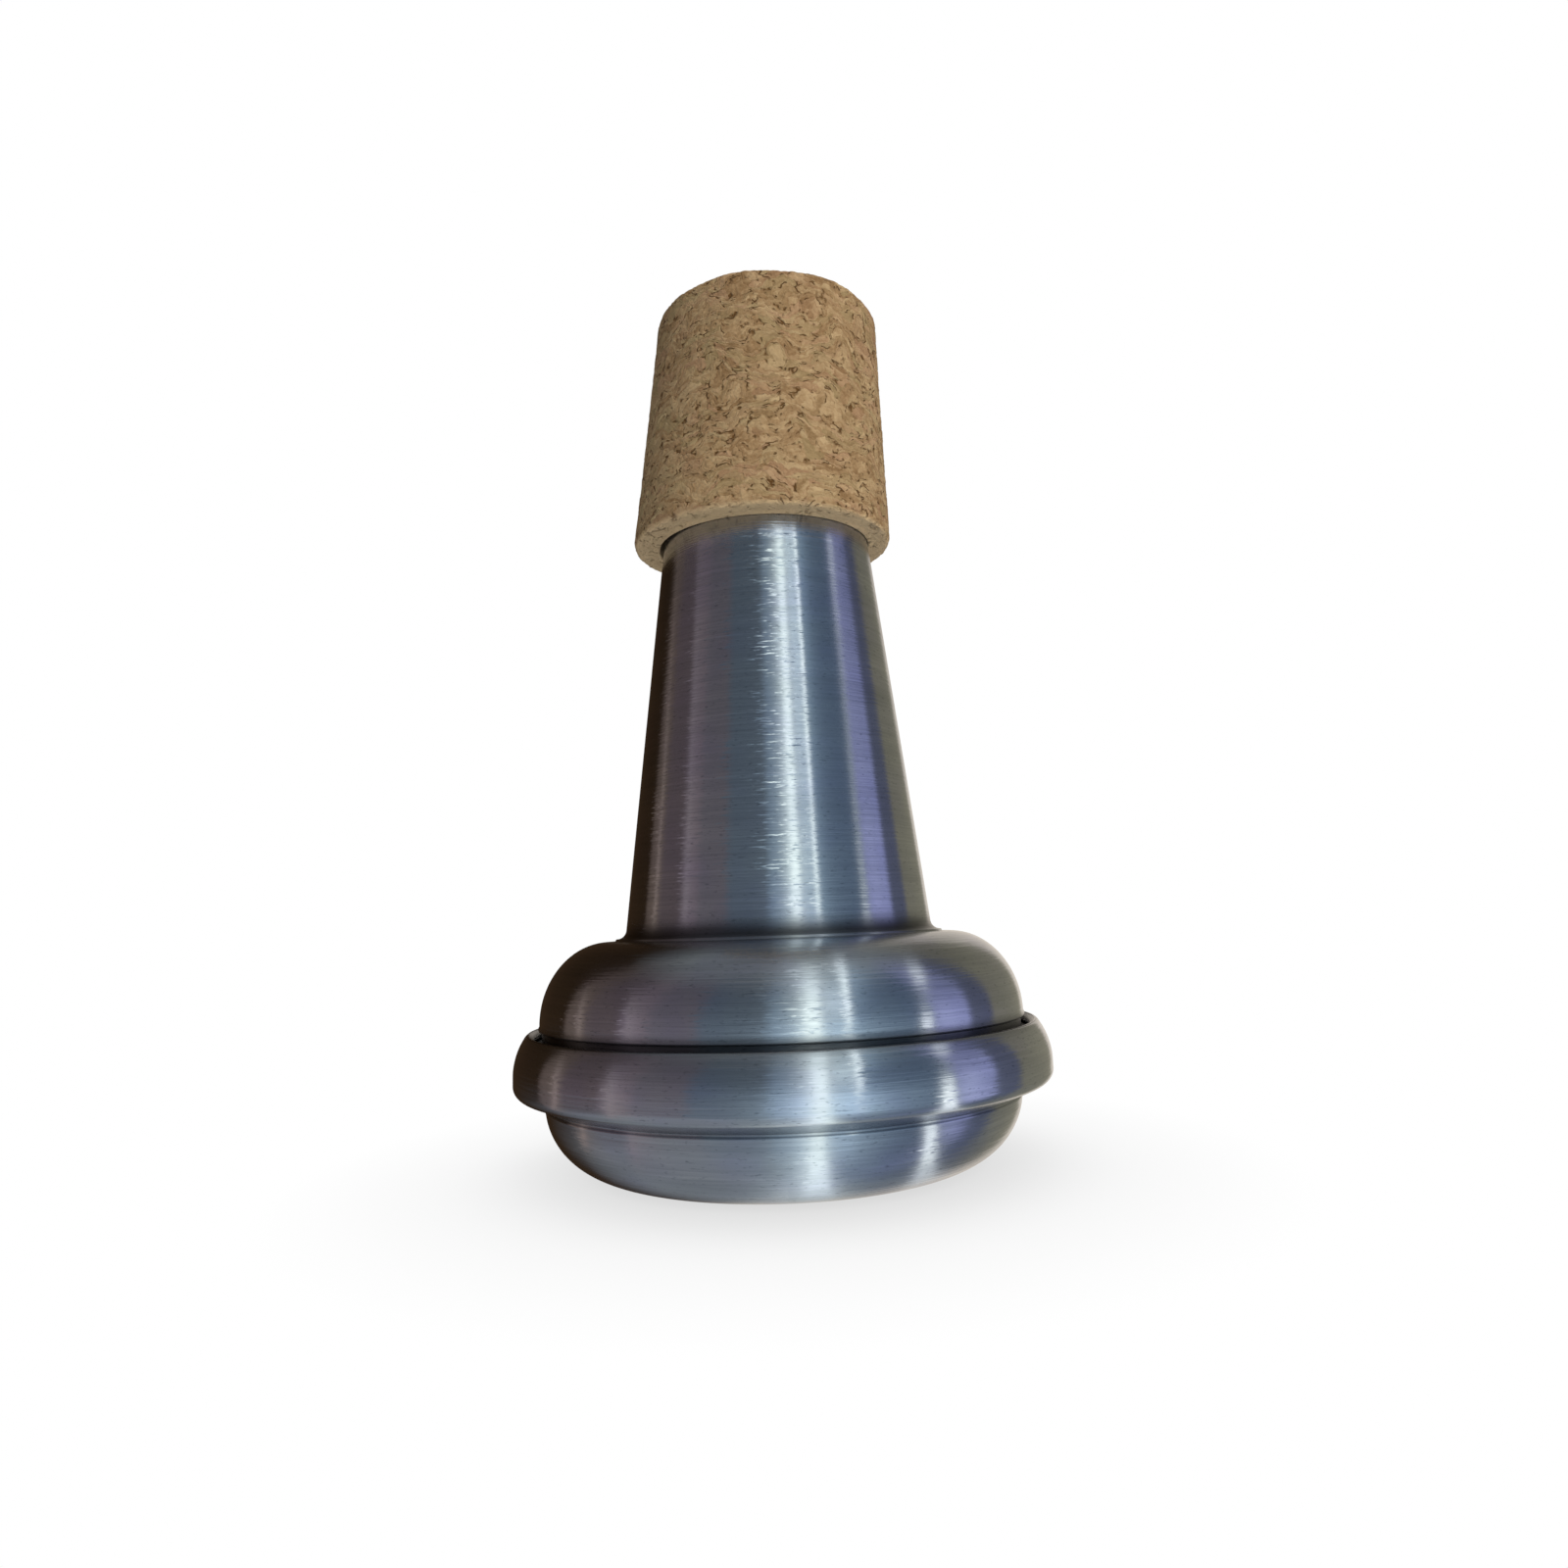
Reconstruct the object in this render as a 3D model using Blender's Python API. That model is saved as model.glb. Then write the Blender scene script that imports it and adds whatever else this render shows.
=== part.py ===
"""A mute for a suona: two spun aluminium shells joined at a rolled bead, with a cork sleeve on the neck.

The mute stands on the flat ring of its base with its axis on +Z. Its origin is the middle of that
ring. Every piece is turned from a section drawn in the X-Z half plane, as (radius, height) points.
All sizes are in metres.
"""
import math

import bmesh
import bpy
import numpy as np

# Round pieces
ROUND_STEPS = 48
BORE_STEPS = 24
SMOOTH_ANGLE = math.radians(32)

# Clearances
GAP = 0.0003
SEAM_GAP = 0.0010
FELT_CLEARANCE = 0.0008

# Spun sheet of both shells
SHEET = 0.0010

# Base: standing ring, dished middle, bowl and crease
FOOT_WIDTH = 0.0030
DISH_SLOPE_WIDTH = 0.0020
FLANGE_RECESS = 0.0005
BOWL_HEIGHT = 0.00845
BOWL_DEPTH = 0.0088
BOWL_ROUND = 0.0092
CREASE_INSET = 0.0008
CREASE_ROUND = 0.0004

# Base: bead that holds the skirt of the neck shell
BEAD_UNDER_SLOPE = math.radians(22)
BEAD_CORNER = 0.0014
BEAD_FLAT = 0.0010
BEAD_BOW = 0.0080
LIP_ROUND = 0.0006
LIP_FALL = 0.0004
LIP_FALL_WIDTH = 0.0007

# Seal inside the bead
SEAL_WIDTH = 0.0019
SEAL_HEIGHT = 0.00327

# Neck shell: flange, skirt and shoulder
SKIRT_RADIUS = 0.03055
SKIRT_FLARE = 0.00015
SKIRT_STRAIGHT = 0.0010
SKIRT_EDGE_RISE = 0.0004
SKIRT_EDGE_ROUND = 0.0003
TUCK_INSET = 0.0005
FLANGE_BEND = 0.0005
FLANGE_CLEARANCE = 0.0004
SHOULDER_DROP = 0.0099
SHOULDER_LEDGE = 0.0009

# Neck shell: low ring at the foot of the neck, and the neck
FOOT_RING_HEIGHT = 0.0003
FOOT_RING_LEDGE = 0.0001
FOOT_RING_SLOPE = 0.00015
NECK_FILLET = 0.0012
NECK_FOOT_RADIUS = 0.01977
NECK_TOP_RADIUS = 0.0103
NECK_LENGTH = 0.0831

# Cork: its wall is thicker at the top, and it stands a little skew on the neck
CORK_LENGTH = 0.0316
CORK_OVERHANG = 0.0008
CORK_WALL_TOP = 0.00475
CORK_WALL_LOW = 0.00325
CORK_EDGE_TOP = 0.0010
CORK_EDGE_LOW = 0.0008
CORK_SHIFT_TOP = 0.00115
CORK_SHIFT_LOW = -0.0005

# Tube that lets the air out through the base
TUBE_RADIUS = 0.0045
TUBE_WALL = 0.0008
TUBE_LENGTH = 0.0480
TUBE_FLANGE_WIDTH = 0.0017
TUBE_FLANGE_THICKNESS = 0.0008
SWAGE_WIDTH = 0.0010
SWAGE_HEIGHT = 0.0010

# Felt ring on the floor of the chamber
FELT_THICKNESS = 0.0020
FELT_MARGIN = 0.0005

# Steps along the curved stretches of the sections
SHOULDER_STEPS = 9
BOWL_STEPS = 8
WALL_STEPS = 4
CORNER_STEPS = 3

# Finishes: base colour, metallic, roughness
FINISHES = {
    "spun_aluminium": ((0.40, 0.43, 0.46), 1.0, 0.32),
    "drawn_aluminium": ((0.48, 0.49, 0.50), 1.0, 0.40),
    "agglomerated_cork": ((0.37, 0.25, 0.15), 0.0, 0.90),
    "black_rubber": ((0.02, 0.02, 0.02), 0.0, 0.70),
    "wool_felt": ((0.10, 0.10, 0.11), 0.0, 0.95),
}


def arc(centre, radius, start, end, steps):
    """Points on a circle from one angle to another, both ends included."""
    angles = np.linspace(start, end, steps + 1)
    return [(centre[0] + radius * math.cos(a), centre[1] + radius * math.sin(a)) for a in angles]


def oval(centre, width, depth, start, end, steps):
    """Points on an ellipse, by the angle in its equation, both ends included."""
    angles = np.linspace(start, end, steps + 1)
    return [(centre[0] + width * math.cos(a), centre[1] + depth * math.sin(a)) for a in angles]


def offset(points, distance):
    """The line that runs beside a line of points, at a distance on its right-hand side.

    Each corner moves along the mean of its two normals, lengthened so that both sides keep the distance.
    """
    line = np.array(points)
    along = np.diff(line, axis=0)
    along /= np.linalg.norm(along, axis=1)[:, None]
    normals = np.stack([along[:, 1], -along[:, 0]], axis=1)
    before = np.vstack([normals[:1], normals])
    after = np.vstack([normals, normals[-1:]])
    mean = before + after
    mean /= np.linalg.norm(mean, axis=1)[:, None]
    reach = distance / np.sum(mean * after, axis=1)
    return [tuple(p) for p in line + mean * reach[:, None]]


# Heights and radii that follow from the sizes above
TUBE_HOLE_RADIUS = TUBE_RADIUS + GAP
DISH_RISE = FLANGE_RECESS + TUBE_FLANGE_THICKNESS + GAP
CREASE_RADIUS = SKIRT_RADIUS - CREASE_INSET
FOOT_OUTER_RADIUS = CREASE_RADIUS - BOWL_ROUND
FOOT_INNER_RADIUS = FOOT_OUTER_RADIUS - FOOT_WIDTH
DISH_RADIUS = FOOT_INNER_RADIUS - DISH_SLOPE_WIDTH
TUCK_RADIUS = SKIRT_RADIUS - TUCK_INSET
BEAD_RADIUS = TUCK_RADIUS + GAP + SEAL_WIDTH + GAP + SHEET
BEAD_INNER_RADIUS = BEAD_RADIUS - SHEET
LIP_RADIUS = TUCK_RADIUS + SEAM_GAP

UNDER_NORMAL = (math.sin(BEAD_UNDER_SLOPE), -math.cos(BEAD_UNDER_SLOPE))
CREASE_CENTRE = (CREASE_RADIUS + CREASE_ROUND, BOWL_HEIGHT)
UNDER_START = (
    CREASE_CENTRE[0] - CREASE_ROUND * UNDER_NORMAL[0],
    CREASE_CENTRE[1] - CREASE_ROUND * UNDER_NORMAL[1],
)
CORNER_RADIUS_AT = BEAD_RADIUS - BEAD_CORNER
CORNER_HEIGHT = UNDER_START[1] + (
    BEAD_CORNER + (CORNER_RADIUS_AT - UNDER_START[0]) * UNDER_NORMAL[0]
) / math.cos(BEAD_UNDER_SLOPE)
BEAD_HEIGHT = CORNER_HEIGHT + BEAD_FLAT
BOW_CENTRE = (BEAD_RADIUS - BEAD_BOW, BEAD_HEIGHT)

FLANGE_RADIUS = BEAD_INNER_RADIUS - FLANGE_CLEARANCE
CORNER_INNER_REACH = BEAD_CORNER - SHEET
FLANGE_BOTTOM = CORNER_HEIGHT - CORNER_INNER_REACH * math.cos(BEAD_UNDER_SLOPE) + GAP
FLANGE_TOP = FLANGE_BOTTOM + SHEET
SEAL_BOTTOM = FLANGE_TOP + GAP
SEAL_TOP = SEAL_BOTTOM + SEAL_HEIGHT
LIP_UNDERSIDE = SEAL_TOP + GAP
LIP_TOP = LIP_UNDERSIDE + SHEET

SHOULDER_LOW = LIP_TOP + SKIRT_STRAIGHT
SHOULDER_TOP = SHOULDER_LOW + SHOULDER_DROP
NECK_TOP = SHOULDER_TOP + NECK_LENGTH
NECK_TAPER = math.atan((NECK_FOOT_RADIUS - NECK_TOP_RADIUS) / NECK_LENGTH)
CORK_TOP = NECK_TOP + CORK_OVERHANG
CORK_BOTTOM = CORK_TOP - CORK_LENGTH


def neck_radius(height):
    """Outer radius of the tapered neck at a height."""
    return NECK_TOP_RADIUS + (NECK_TOP - height) * math.tan(NECK_TAPER)


def bow_radius(reach, height):
    """Radius of the bead's bowed wall at a height; reach is the bow less any wall thickness."""
    rise = height - BOW_CENTRE[1]
    return BOW_CENTRE[0] + math.sqrt(reach ** 2 - rise ** 2)


def turned(name, section, steps, finish):
    """One closed body of revolution from a closed section that does not reach the axis."""
    shape = bmesh.new()
    corners = [shape.verts.new((radius, 0.0, height)) for radius, height in section]
    edges = [shape.edges.new((a, b)) for a, b in zip(corners, corners[1:] + corners[:1])]
    bmesh.ops.spin(
        shape,
        geom=corners + edges,
        cent=(0.0, 0.0, 0.0),
        axis=(0.0, 0.0, 1.0),
        angle=math.tau,
        steps=steps,
        use_merge=True,
    )
    bmesh.ops.recalc_face_normals(shape, faces=shape.faces[:])
    mesh = bpy.data.meshes.new(name)
    shape.to_mesh(mesh)
    shape.free()
    mesh.shade_smooth()
    mesh.set_sharp_from_angle(angle=SMOOTH_ANGLE)
    mesh.materials.append(finish)
    piece = bpy.data.objects.new(name, mesh)
    bpy.context.scene.collection.objects.link(piece)
    return piece


def base_cap(finish):
    """Bead, crease, bowl and dished floor in one sheet, from the lip down to the hole in the middle."""
    bow_inner = BEAD_BOW - SHEET
    lip_centre_height = LIP_TOP - LIP_ROUND
    lip_rise = lip_centre_height - BOW_CENTRE[1]
    lip_reach = BEAD_BOW - LIP_ROUND
    lip_centre = (BOW_CENTRE[0] + math.sqrt(lip_reach ** 2 - lip_rise ** 2), lip_centre_height)
    lip_angle = math.asin(lip_rise / lip_reach)
    under_angle = BEAD_UNDER_SLOPE - math.pi / 2

    lip = [(LIP_RADIUS, LIP_TOP - LIP_FALL), (LIP_RADIUS + LIP_FALL_WIDTH, LIP_TOP)]
    lip += arc(lip_centre, LIP_ROUND, math.pi / 2, lip_angle, CORNER_STEPS)
    wall = arc(BOW_CENTRE, BEAD_BOW, lip_angle, 0.0, WALL_STEPS)

    body = arc((CORNER_RADIUS_AT, CORNER_HEIGHT), BEAD_CORNER, 0.0, under_angle, CORNER_STEPS)
    body += arc(CREASE_CENTRE, CREASE_ROUND, under_angle + math.pi, math.pi, CORNER_STEPS)
    bowl_centre = (FOOT_OUTER_RADIUS, BOWL_DEPTH)
    bowl_start = -math.asin((BOWL_DEPTH - BOWL_HEIGHT) / BOWL_DEPTH)
    body += oval(bowl_centre, BOWL_ROUND, BOWL_DEPTH, bowl_start, -math.pi / 2, BOWL_STEPS)[1:]
    body += [(FOOT_INNER_RADIUS, 0.0), (DISH_RADIUS, DISH_RISE), (TUBE_HOLE_RADIUS, DISH_RISE)]

    inner_lip_angle = math.asin((LIP_UNDERSIDE - BOW_CENTRE[1]) / bow_inner)
    inner_wall = arc(BOW_CENTRE, bow_inner, inner_lip_angle, 0.0, WALL_STEPS)
    inner = [(LIP_RADIUS, LIP_UNDERSIDE)] + inner_wall + offset(body, SHEET)
    return turned("base_cap", lip + wall[1:] + body + inner[::-1], ROUND_STEPS, finish)


def neck_shell(finish):
    """Neck, shoulder, skirt and turned-out flange in one sheet, from the top of the neck down."""

    def fillet(bottom):
        """The round between the neck and a flat at a height, from the neck outwards."""
        height = bottom + NECK_FILLET
        start = height - NECK_FILLET * math.sin(NECK_TAPER)
        centre = (neck_radius(start) + NECK_FILLET * math.cos(NECK_TAPER), height)
        return arc(centre, NECK_FILLET, math.pi + NECK_TAPER, 1.5 * math.pi, CORNER_STEPS)

    ring_top = SHOULDER_TOP + FOOT_RING_HEIGHT
    foot = fillet(ring_top)
    ring_radius = foot[-1][0] + FOOT_RING_LEDGE
    foot += [(ring_radius, ring_top), (ring_radius + FOOT_RING_SLOPE, SHOULDER_TOP)]

    shoulder_radius = ring_radius + FOOT_RING_SLOPE + SHOULDER_LEDGE
    shoulder_width = SKIRT_RADIUS - SKIRT_FLARE - shoulder_radius
    shoulder_centre = (shoulder_radius, SHOULDER_LOW)
    shoulder = oval(shoulder_centre, shoulder_width, SHOULDER_DROP, math.pi / 2, 0.0, SHOULDER_STEPS)
    edge_height = LIP_TOP + SKIRT_EDGE_RISE
    edge_centre = (SKIRT_RADIUS - SKIRT_EDGE_ROUND, edge_height + SKIRT_EDGE_ROUND)
    edge = arc(edge_centre, SKIRT_EDGE_ROUND, 0.0, -math.pi / 2, CORNER_STEPS)
    edge += [(TUCK_RADIUS, edge_height)]
    bend_centre = (TUCK_RADIUS + FLANGE_BEND, FLANGE_TOP + FLANGE_BEND)
    flange = arc(bend_centre, FLANGE_BEND, math.pi, 1.5 * math.pi, CORNER_STEPS)
    flange += [(FLANGE_RADIUS, FLANGE_TOP)]

    top = (NECK_TOP_RADIUS, NECK_TOP)
    inner = offset([top] + fillet(SHOULDER_TOP) + shoulder + [(TUCK_RADIUS, LIP_UNDERSIDE)] + flange, SHEET)
    inner[0] = (NECK_TOP_RADIUS - SHEET / math.cos(NECK_TAPER), NECK_TOP)
    outer = [top] + foot + shoulder + edge + flange
    return turned("neck_shell", outer + inner[::-1], ROUND_STEPS, finish)


def seam_seal(finish):
    """Ring in the bead, above the flange: straight against the skirt, bowed against the bead."""
    bow = BEAD_BOW - SHEET - GAP
    heights = np.linspace(SEAL_TOP, SEAL_BOTTOM, WALL_STEPS)
    outer = [(bow_radius(bow, height), height) for height in heights]
    inner_radius = TUCK_RADIUS + GAP
    section = outer + [(inner_radius, SEAL_BOTTOM), (inner_radius, SEAL_TOP)]
    return turned("seam_seal", section, ROUND_STEPS, finish)


def cork_sleeve(finish):
    """Tapered cork with a bore that fits the neck, shifted sideways towards its outside."""

    def bore(height):
        return neck_radius(height) + GAP

    top_radius = bore(CORK_TOP) + CORK_WALL_TOP
    low_radius = bore(CORK_BOTTOM) + CORK_WALL_LOW

    def outside(height):
        share = (height - CORK_BOTTOM) / CORK_LENGTH
        return low_radius + (top_radius - low_radius) * share

    top_centre = (top_radius - CORK_EDGE_TOP, CORK_TOP - CORK_EDGE_TOP)
    low_centre = (low_radius - CORK_EDGE_LOW, CORK_BOTTOM + CORK_EDGE_LOW)
    section = arc(top_centre, CORK_EDGE_TOP, math.pi / 2, 0.0, CORNER_STEPS)
    section += arc(low_centre, CORK_EDGE_LOW, 0.0, -math.pi / 2, CORNER_STEPS)
    section += [(bore(CORK_BOTTOM), CORK_BOTTOM), (bore(CORK_TOP), CORK_TOP)]
    sleeve = turned("cork_sleeve", section, ROUND_STEPS, finish)

    for vertex in sleeve.data.vertices:
        x, y, height = vertex.co
        depth = (math.hypot(x, y) - bore(height)) / (outside(height) - bore(height))
        rise = (height - CORK_BOTTOM) / CORK_LENGTH
        shift = CORK_SHIFT_LOW + (CORK_SHIFT_TOP - CORK_SHIFT_LOW) * rise
        vertex.co.x += shift * min(max(depth, 0.0), 1.0)
    return sleeve


def vent_tube(finish):
    """Tube through the hole of the base, held by a flange under the sheet and a swaged ring over it."""
    bore = TUBE_RADIUS - TUBE_WALL
    flange_top = DISH_RISE - GAP
    flange_bottom = flange_top - TUBE_FLANGE_THICKNESS
    flange_radius = TUBE_RADIUS + TUBE_FLANGE_WIDTH
    swage_bottom = DISH_RISE + SHEET + GAP
    swage_top = swage_bottom + SWAGE_HEIGHT
    swage_radius = TUBE_RADIUS + SWAGE_WIDTH
    tube_top = swage_top + TUBE_LENGTH
    section = [
        (bore, tube_top),
        (TUBE_RADIUS, tube_top),
        (TUBE_RADIUS, swage_top),
        (swage_radius, (swage_top + swage_bottom) / 2),
        (swage_radius, swage_bottom),
        (TUBE_RADIUS, swage_bottom),
        (TUBE_RADIUS, flange_top),
        (flange_radius, flange_top),
        (flange_radius, flange_bottom),
        (bore, flange_bottom),
    ]
    return turned("vent_tube", section, BORE_STEPS, finish)


def damping_felt(finish):
    """Flat felt ring on the dished floor, clear of the tube's swaged ring."""
    inner_radius = TUBE_RADIUS + SWAGE_WIDTH + FELT_CLEARANCE
    outer_radius = DISH_RADIUS - FELT_MARGIN
    bottom = DISH_RISE + SHEET + GAP
    top = bottom + FELT_THICKNESS
    section = [(inner_radius, top), (outer_radius, top), (outer_radius, bottom), (inner_radius, bottom)]
    return turned("damping_felt", section, ROUND_STEPS, finish)


def finish(name):
    """A material with a Principled shader, from the table of finishes."""
    colour, metallic, roughness = FINISHES[name]
    material = bpy.data.materials.new(name)
    material.use_nodes = True
    shader = material.node_tree.nodes["Principled BSDF"]
    shader.inputs["Base Color"].default_value = (*colour, 1.0)
    shader.inputs["Metallic"].default_value = metallic
    shader.inputs["Roughness"].default_value = roughness
    return material


def main():
    """Clears the scene and makes the mute, piece by piece."""
    for old in list(bpy.data.objects):
        bpy.data.objects.remove(old)
    sheet_metal = finish("spun_aluminium")
    base_cap(sheet_metal)
    neck_shell(sheet_metal)
    seam_seal(finish("black_rubber"))
    cork_sleeve(finish("agglomerated_cork"))
    vent_tube(finish("drawn_aluminium"))
    damping_felt(finish("wool_felt"))


main()
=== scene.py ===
"""A suona mute of spun aluminium with a cork sleeve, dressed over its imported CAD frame.

The CAD nodes stay the measure of every size: each dressed piece is turned from the same section as
the node it stands for, with finer rounds, tool lines and grain. Sections are drawn in millimetres in
the X-Z half plane, as (radius, height) points, and meshes are in metres with the axis on +Z.
"""

import logging
import math
from dataclasses import dataclass
from enum import Enum
from functools import partial
from typing import Any, Callable, Mapping, Optional, Sequence, Union

import bpy
import numpy as np
from mathutils import Matrix, Vector


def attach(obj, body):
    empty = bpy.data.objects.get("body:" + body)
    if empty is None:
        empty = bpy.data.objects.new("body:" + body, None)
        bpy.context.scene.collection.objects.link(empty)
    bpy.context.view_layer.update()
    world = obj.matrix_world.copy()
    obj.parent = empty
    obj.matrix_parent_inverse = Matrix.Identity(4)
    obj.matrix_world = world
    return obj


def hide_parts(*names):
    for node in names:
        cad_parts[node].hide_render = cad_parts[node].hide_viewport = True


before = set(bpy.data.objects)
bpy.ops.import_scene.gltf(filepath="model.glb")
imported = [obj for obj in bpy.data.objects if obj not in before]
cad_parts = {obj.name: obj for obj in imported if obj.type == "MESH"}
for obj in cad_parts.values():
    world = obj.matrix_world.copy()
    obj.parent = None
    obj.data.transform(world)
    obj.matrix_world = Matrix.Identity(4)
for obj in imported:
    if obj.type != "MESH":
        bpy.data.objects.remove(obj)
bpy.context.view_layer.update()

log = logging.getLogger("suona_mute")

MM = 0.001
TURN = math.tau
QUARTER = math.pi / 2
ROOT = "root"

Array = np.ndarray
Pair = tuple[float, float]
Socket = bpy.types.NodeSocket
Source = Union[Socket, str, float, Sequence[float]]
Adder = Callable[..., Socket]


class Slot(Enum):
    """Finishes that the record names."""

    SPUN = "spun_aluminium"
    DRAWN = "drawn_aluminium"
    CORK = "agglomerated_cork"
    RUBBER = "black_rubber"
    FELT = "wool_felt"


# Colour and nodes


def linear(colour: str) -> Array:
    """Linear light of an sRGB hex colour.

    Args:
        colour: six hex digits after a hash sign.

    Returns:
        Red, green and blue: v / 12.92 up to 0.04045, and ((v + 0.055) / 1.055) ** 2.4 above it.
    """
    steps = np.array([int(colour[i:i + 2], 16) for i in (1, 3, 5)]) / 255.0
    return np.where(steps <= 0.04045, steps / 12.92, ((steps + 0.055) / 1.055) ** 2.4)


def paint(colour: str) -> tuple[float, float, float, float]:
    """An sRGB hex colour as an opaque linear socket value."""
    return (*map(float, linear(colour)), 1.0)


def add(
    tree: bpy.types.NodeTree,
    kind: str,
    inputs: Optional[Mapping[Union[int, str], Source]] = None,
    output: Optional[str] = None,
    **settings: Any,
) -> Optional[Socket]:
    """Adds a shader node with its settings, values and links.

    Args:
        tree: node tree that takes the node.
        kind: the node's class name, without ShaderNode in front.
        inputs: socket name or number, with the value, hex colour or output socket that feeds it.
        output: name of the output that is wanted, where it isn't the first that is in use.
        settings: attributes of the node itself.

    Returns:
        The output, or None for a node that has none. The new node is its attribute node.
    """
    node = tree.nodes.new("ShaderNode" + kind)
    for key, value in settings.items():
        setattr(node, key, value)
    for socket, source in (inputs or {}).items():
        if isinstance(source, bpy.types.NodeSocket):
            tree.links.new(source, node.inputs[socket])
        else:
            node.inputs[socket].default_value = paint(source) if isinstance(source, str) else source
    return node.outputs[output] if output else next((out for out in node.outputs if out.enabled), None)


def limits(low: float, high: float, least: float = 0.0, most: float = 1.0) -> dict[str, float]:
    """Limits of a Map Range that gives least at low and most at high."""
    return {"From Min": low, "From Max": high, "To Min": least, "To Max": most}


def weighted(node: Adder, *parts: tuple[Source, float], start: float = 0.0) -> Source:
    """A sum of values, each times its own weight.

    Args:
        node: adds a node to the material.
        parts: values and their weights.
        start: number that the sum starts from.

    Returns:
        The sum.
    """
    total = start
    for value, weight in parts:
        total = node("Math", {0: value, 1: weight, 2: total}, operation="MULTIPLY_ADD")
    return total


def layered(node: Adder, colour: Source, *layers: tuple[Source, str]) -> Source:
    """A colour with others laid over it in turn.

    Args:
        node: adds a node to the material.
        colour: the lowest colour.
        layers: share of each layer, 0 to 1, and its hex colour.

    Returns:
        The colour on top.
    """
    for share, upper in layers:
        colour = node("Mix", {"Factor": share, 6: colour, 7: upper}, data_type="RGBA")
    return colour


# Sections


def arc(centre: Sequence[float], radius: Union[float, Pair], start: float, end: float, count: int) -> Array:
    """Points on a circle or an upright ellipse: centre + (width * cos a, depth * sin a) for equal steps of a.

    Args:
        centre: radius and height of the middle, in mm.
        radius: radius of the circle, or half axes of the ellipse across and up, in mm.
        start: first angle, in radians.
        end: last angle, in radians.
        count: number of points, both ends included.

    Returns:
        The points, one a row.
    """
    angles = np.linspace(start, end, count)
    return np.array(centre) + np.stack([np.cos(angles), np.sin(angles)], axis=1) * radius


def rounded(corner: Sequence[float], before: Sequence[float], after: Sequence[float], radius: float) -> Array:
    """A corner of a section with a round in it.

    The round is the quadratic curve from the point at the given distance before the corner to the
    point as far after it, with the corner as its control point.

    Args:
        corner: the sharp corner, in mm.
        before: the point that the section comes from.
        after: the point that it goes to.
        radius: distance of the round's ends from the corner, in mm.

    Returns:
        Seven points of the round.
    """
    corner, before, after = (np.array(p, dtype=float) for p in (corner, before, after))
    start = corner + (before - corner) / np.linalg.norm(before - corner) * radius
    end = corner + (after - corner) / np.linalg.norm(after - corner) * radius
    t = np.linspace(0.0, 1.0, 7)[:, None]
    return start * (1 - t) ** 2 + corner * 2 * t * (1 - t) + end * t ** 2


def rounded_loop(*corners: tuple[float, float, float]) -> Array:
    """A closed section from corners given as (radius, height, round), all in mm."""
    places = [corner[:2] for corner in corners]
    return np.vstack([
        rounded(place, places[i - 1], places[(i + 1) % len(places)], corners[i][2])
        for i, place in enumerate(places)
    ])


def offset(line: Array, distance: float) -> Array:
    """The line beside a section line, on its right-hand side.

    Each point moves along the mean of its two normals, lengthened by one over the cosine of half the
    turn, so that both sides keep the distance.

    Args:
        line: points in mm.
        distance: thickness between the two lines, in mm.

    Returns:
        The moved points, in the same order.
    """
    along = np.diff(line, axis=0)
    along /= np.linalg.norm(along, axis=1)[:, None]
    normals = np.stack([along[:, 1], -along[:, 0]], axis=1)
    after = np.vstack([normals, normals[-1:]])
    mean = np.vstack([normals[:1], normals]) + after
    mean /= np.linalg.norm(mean, axis=1)[:, None]
    return line + mean * (distance / np.sum(mean * after, axis=1))[:, None]


def refined(line: Array, step: float, closed: bool = False) -> Array:
    """A section line with extra points on its long stretches, evenly placed between the old ones.

    Args:
        line: points in mm.
        step: longest stretch that stays whole, in mm.
        closed: whether the last point is joined to the first.

    Returns:
        The old points and the new ones, in order.
    """
    ends = np.vstack([line[1:], line[:1]]) if closed else line[1:]
    starts = line if closed else line[:-1]
    lengths = np.linalg.norm(ends - starts, axis=1)
    counts = np.maximum(np.ceil(lengths / step).astype(int), 1)
    index = np.repeat(np.arange(len(starts)), counts)
    share = (np.arange(len(index)) - np.repeat(np.cumsum(counts) - counts, counts)) / counts[index]
    points = starts[index] + (ends - starts)[index] * share[:, None]
    return points if closed else np.vstack([points, line[-1:]])


# Shares and noise


def ramp(value: Union[float, Array], start: float, reach: float) -> Array:
    """Nought up to the start, one past start + reach, and even growth between them."""
    return np.clip((value - start) / reach, 0.0, 1.0)


def crease_shade(section: Array, *spots: tuple[float, float, float, float]) -> Array:
    """How much painted shade falls at each point of a section: depth * exp(-(distance / width) ** 2), the
    most of all.

    Args:
        section: points in mm.
        spots: radius, height and width in mm of each gap, crease or contact that is painted dark as shade,
            and its depth from 0 to 1.

    Returns:
        A share from 0 to 1 for each point.
    """
    shares = [
        depth * np.exp(-(np.hypot(*(section - (radius, height)).T) / width) ** 2)
        for radius, height, width, depth in spots
    ]
    return np.max(shares, axis=0)


def waves(turn: Array, along: Array, seed: int, count: int = 12, reach: float = 9.0) -> Array:
    """Smooth noise that closes round the axis: a mean of cosines of n * turn + m * along + phase.

    Args:
        turn: angle in radians.
        along: distance along the section, in mm.
        seed: seed of the draws.
        count: number of cosines.
        reach: highest whole number of waves in a turn.

    Returns:
        Noise of about unit size.
    """
    draw = np.random.default_rng(seed)
    total = np.zeros(np.broadcast(turn, along).shape)
    for _ in range(count):
        around = draw.integers(-int(reach), int(reach) + 1)
        rise = draw.uniform(-reach, reach) / 18.0
        total += np.cos(around * turn + rise * along + draw.uniform(0.0, TURN))
    return total * math.sqrt(2.0 / count)


# Finishes


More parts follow.
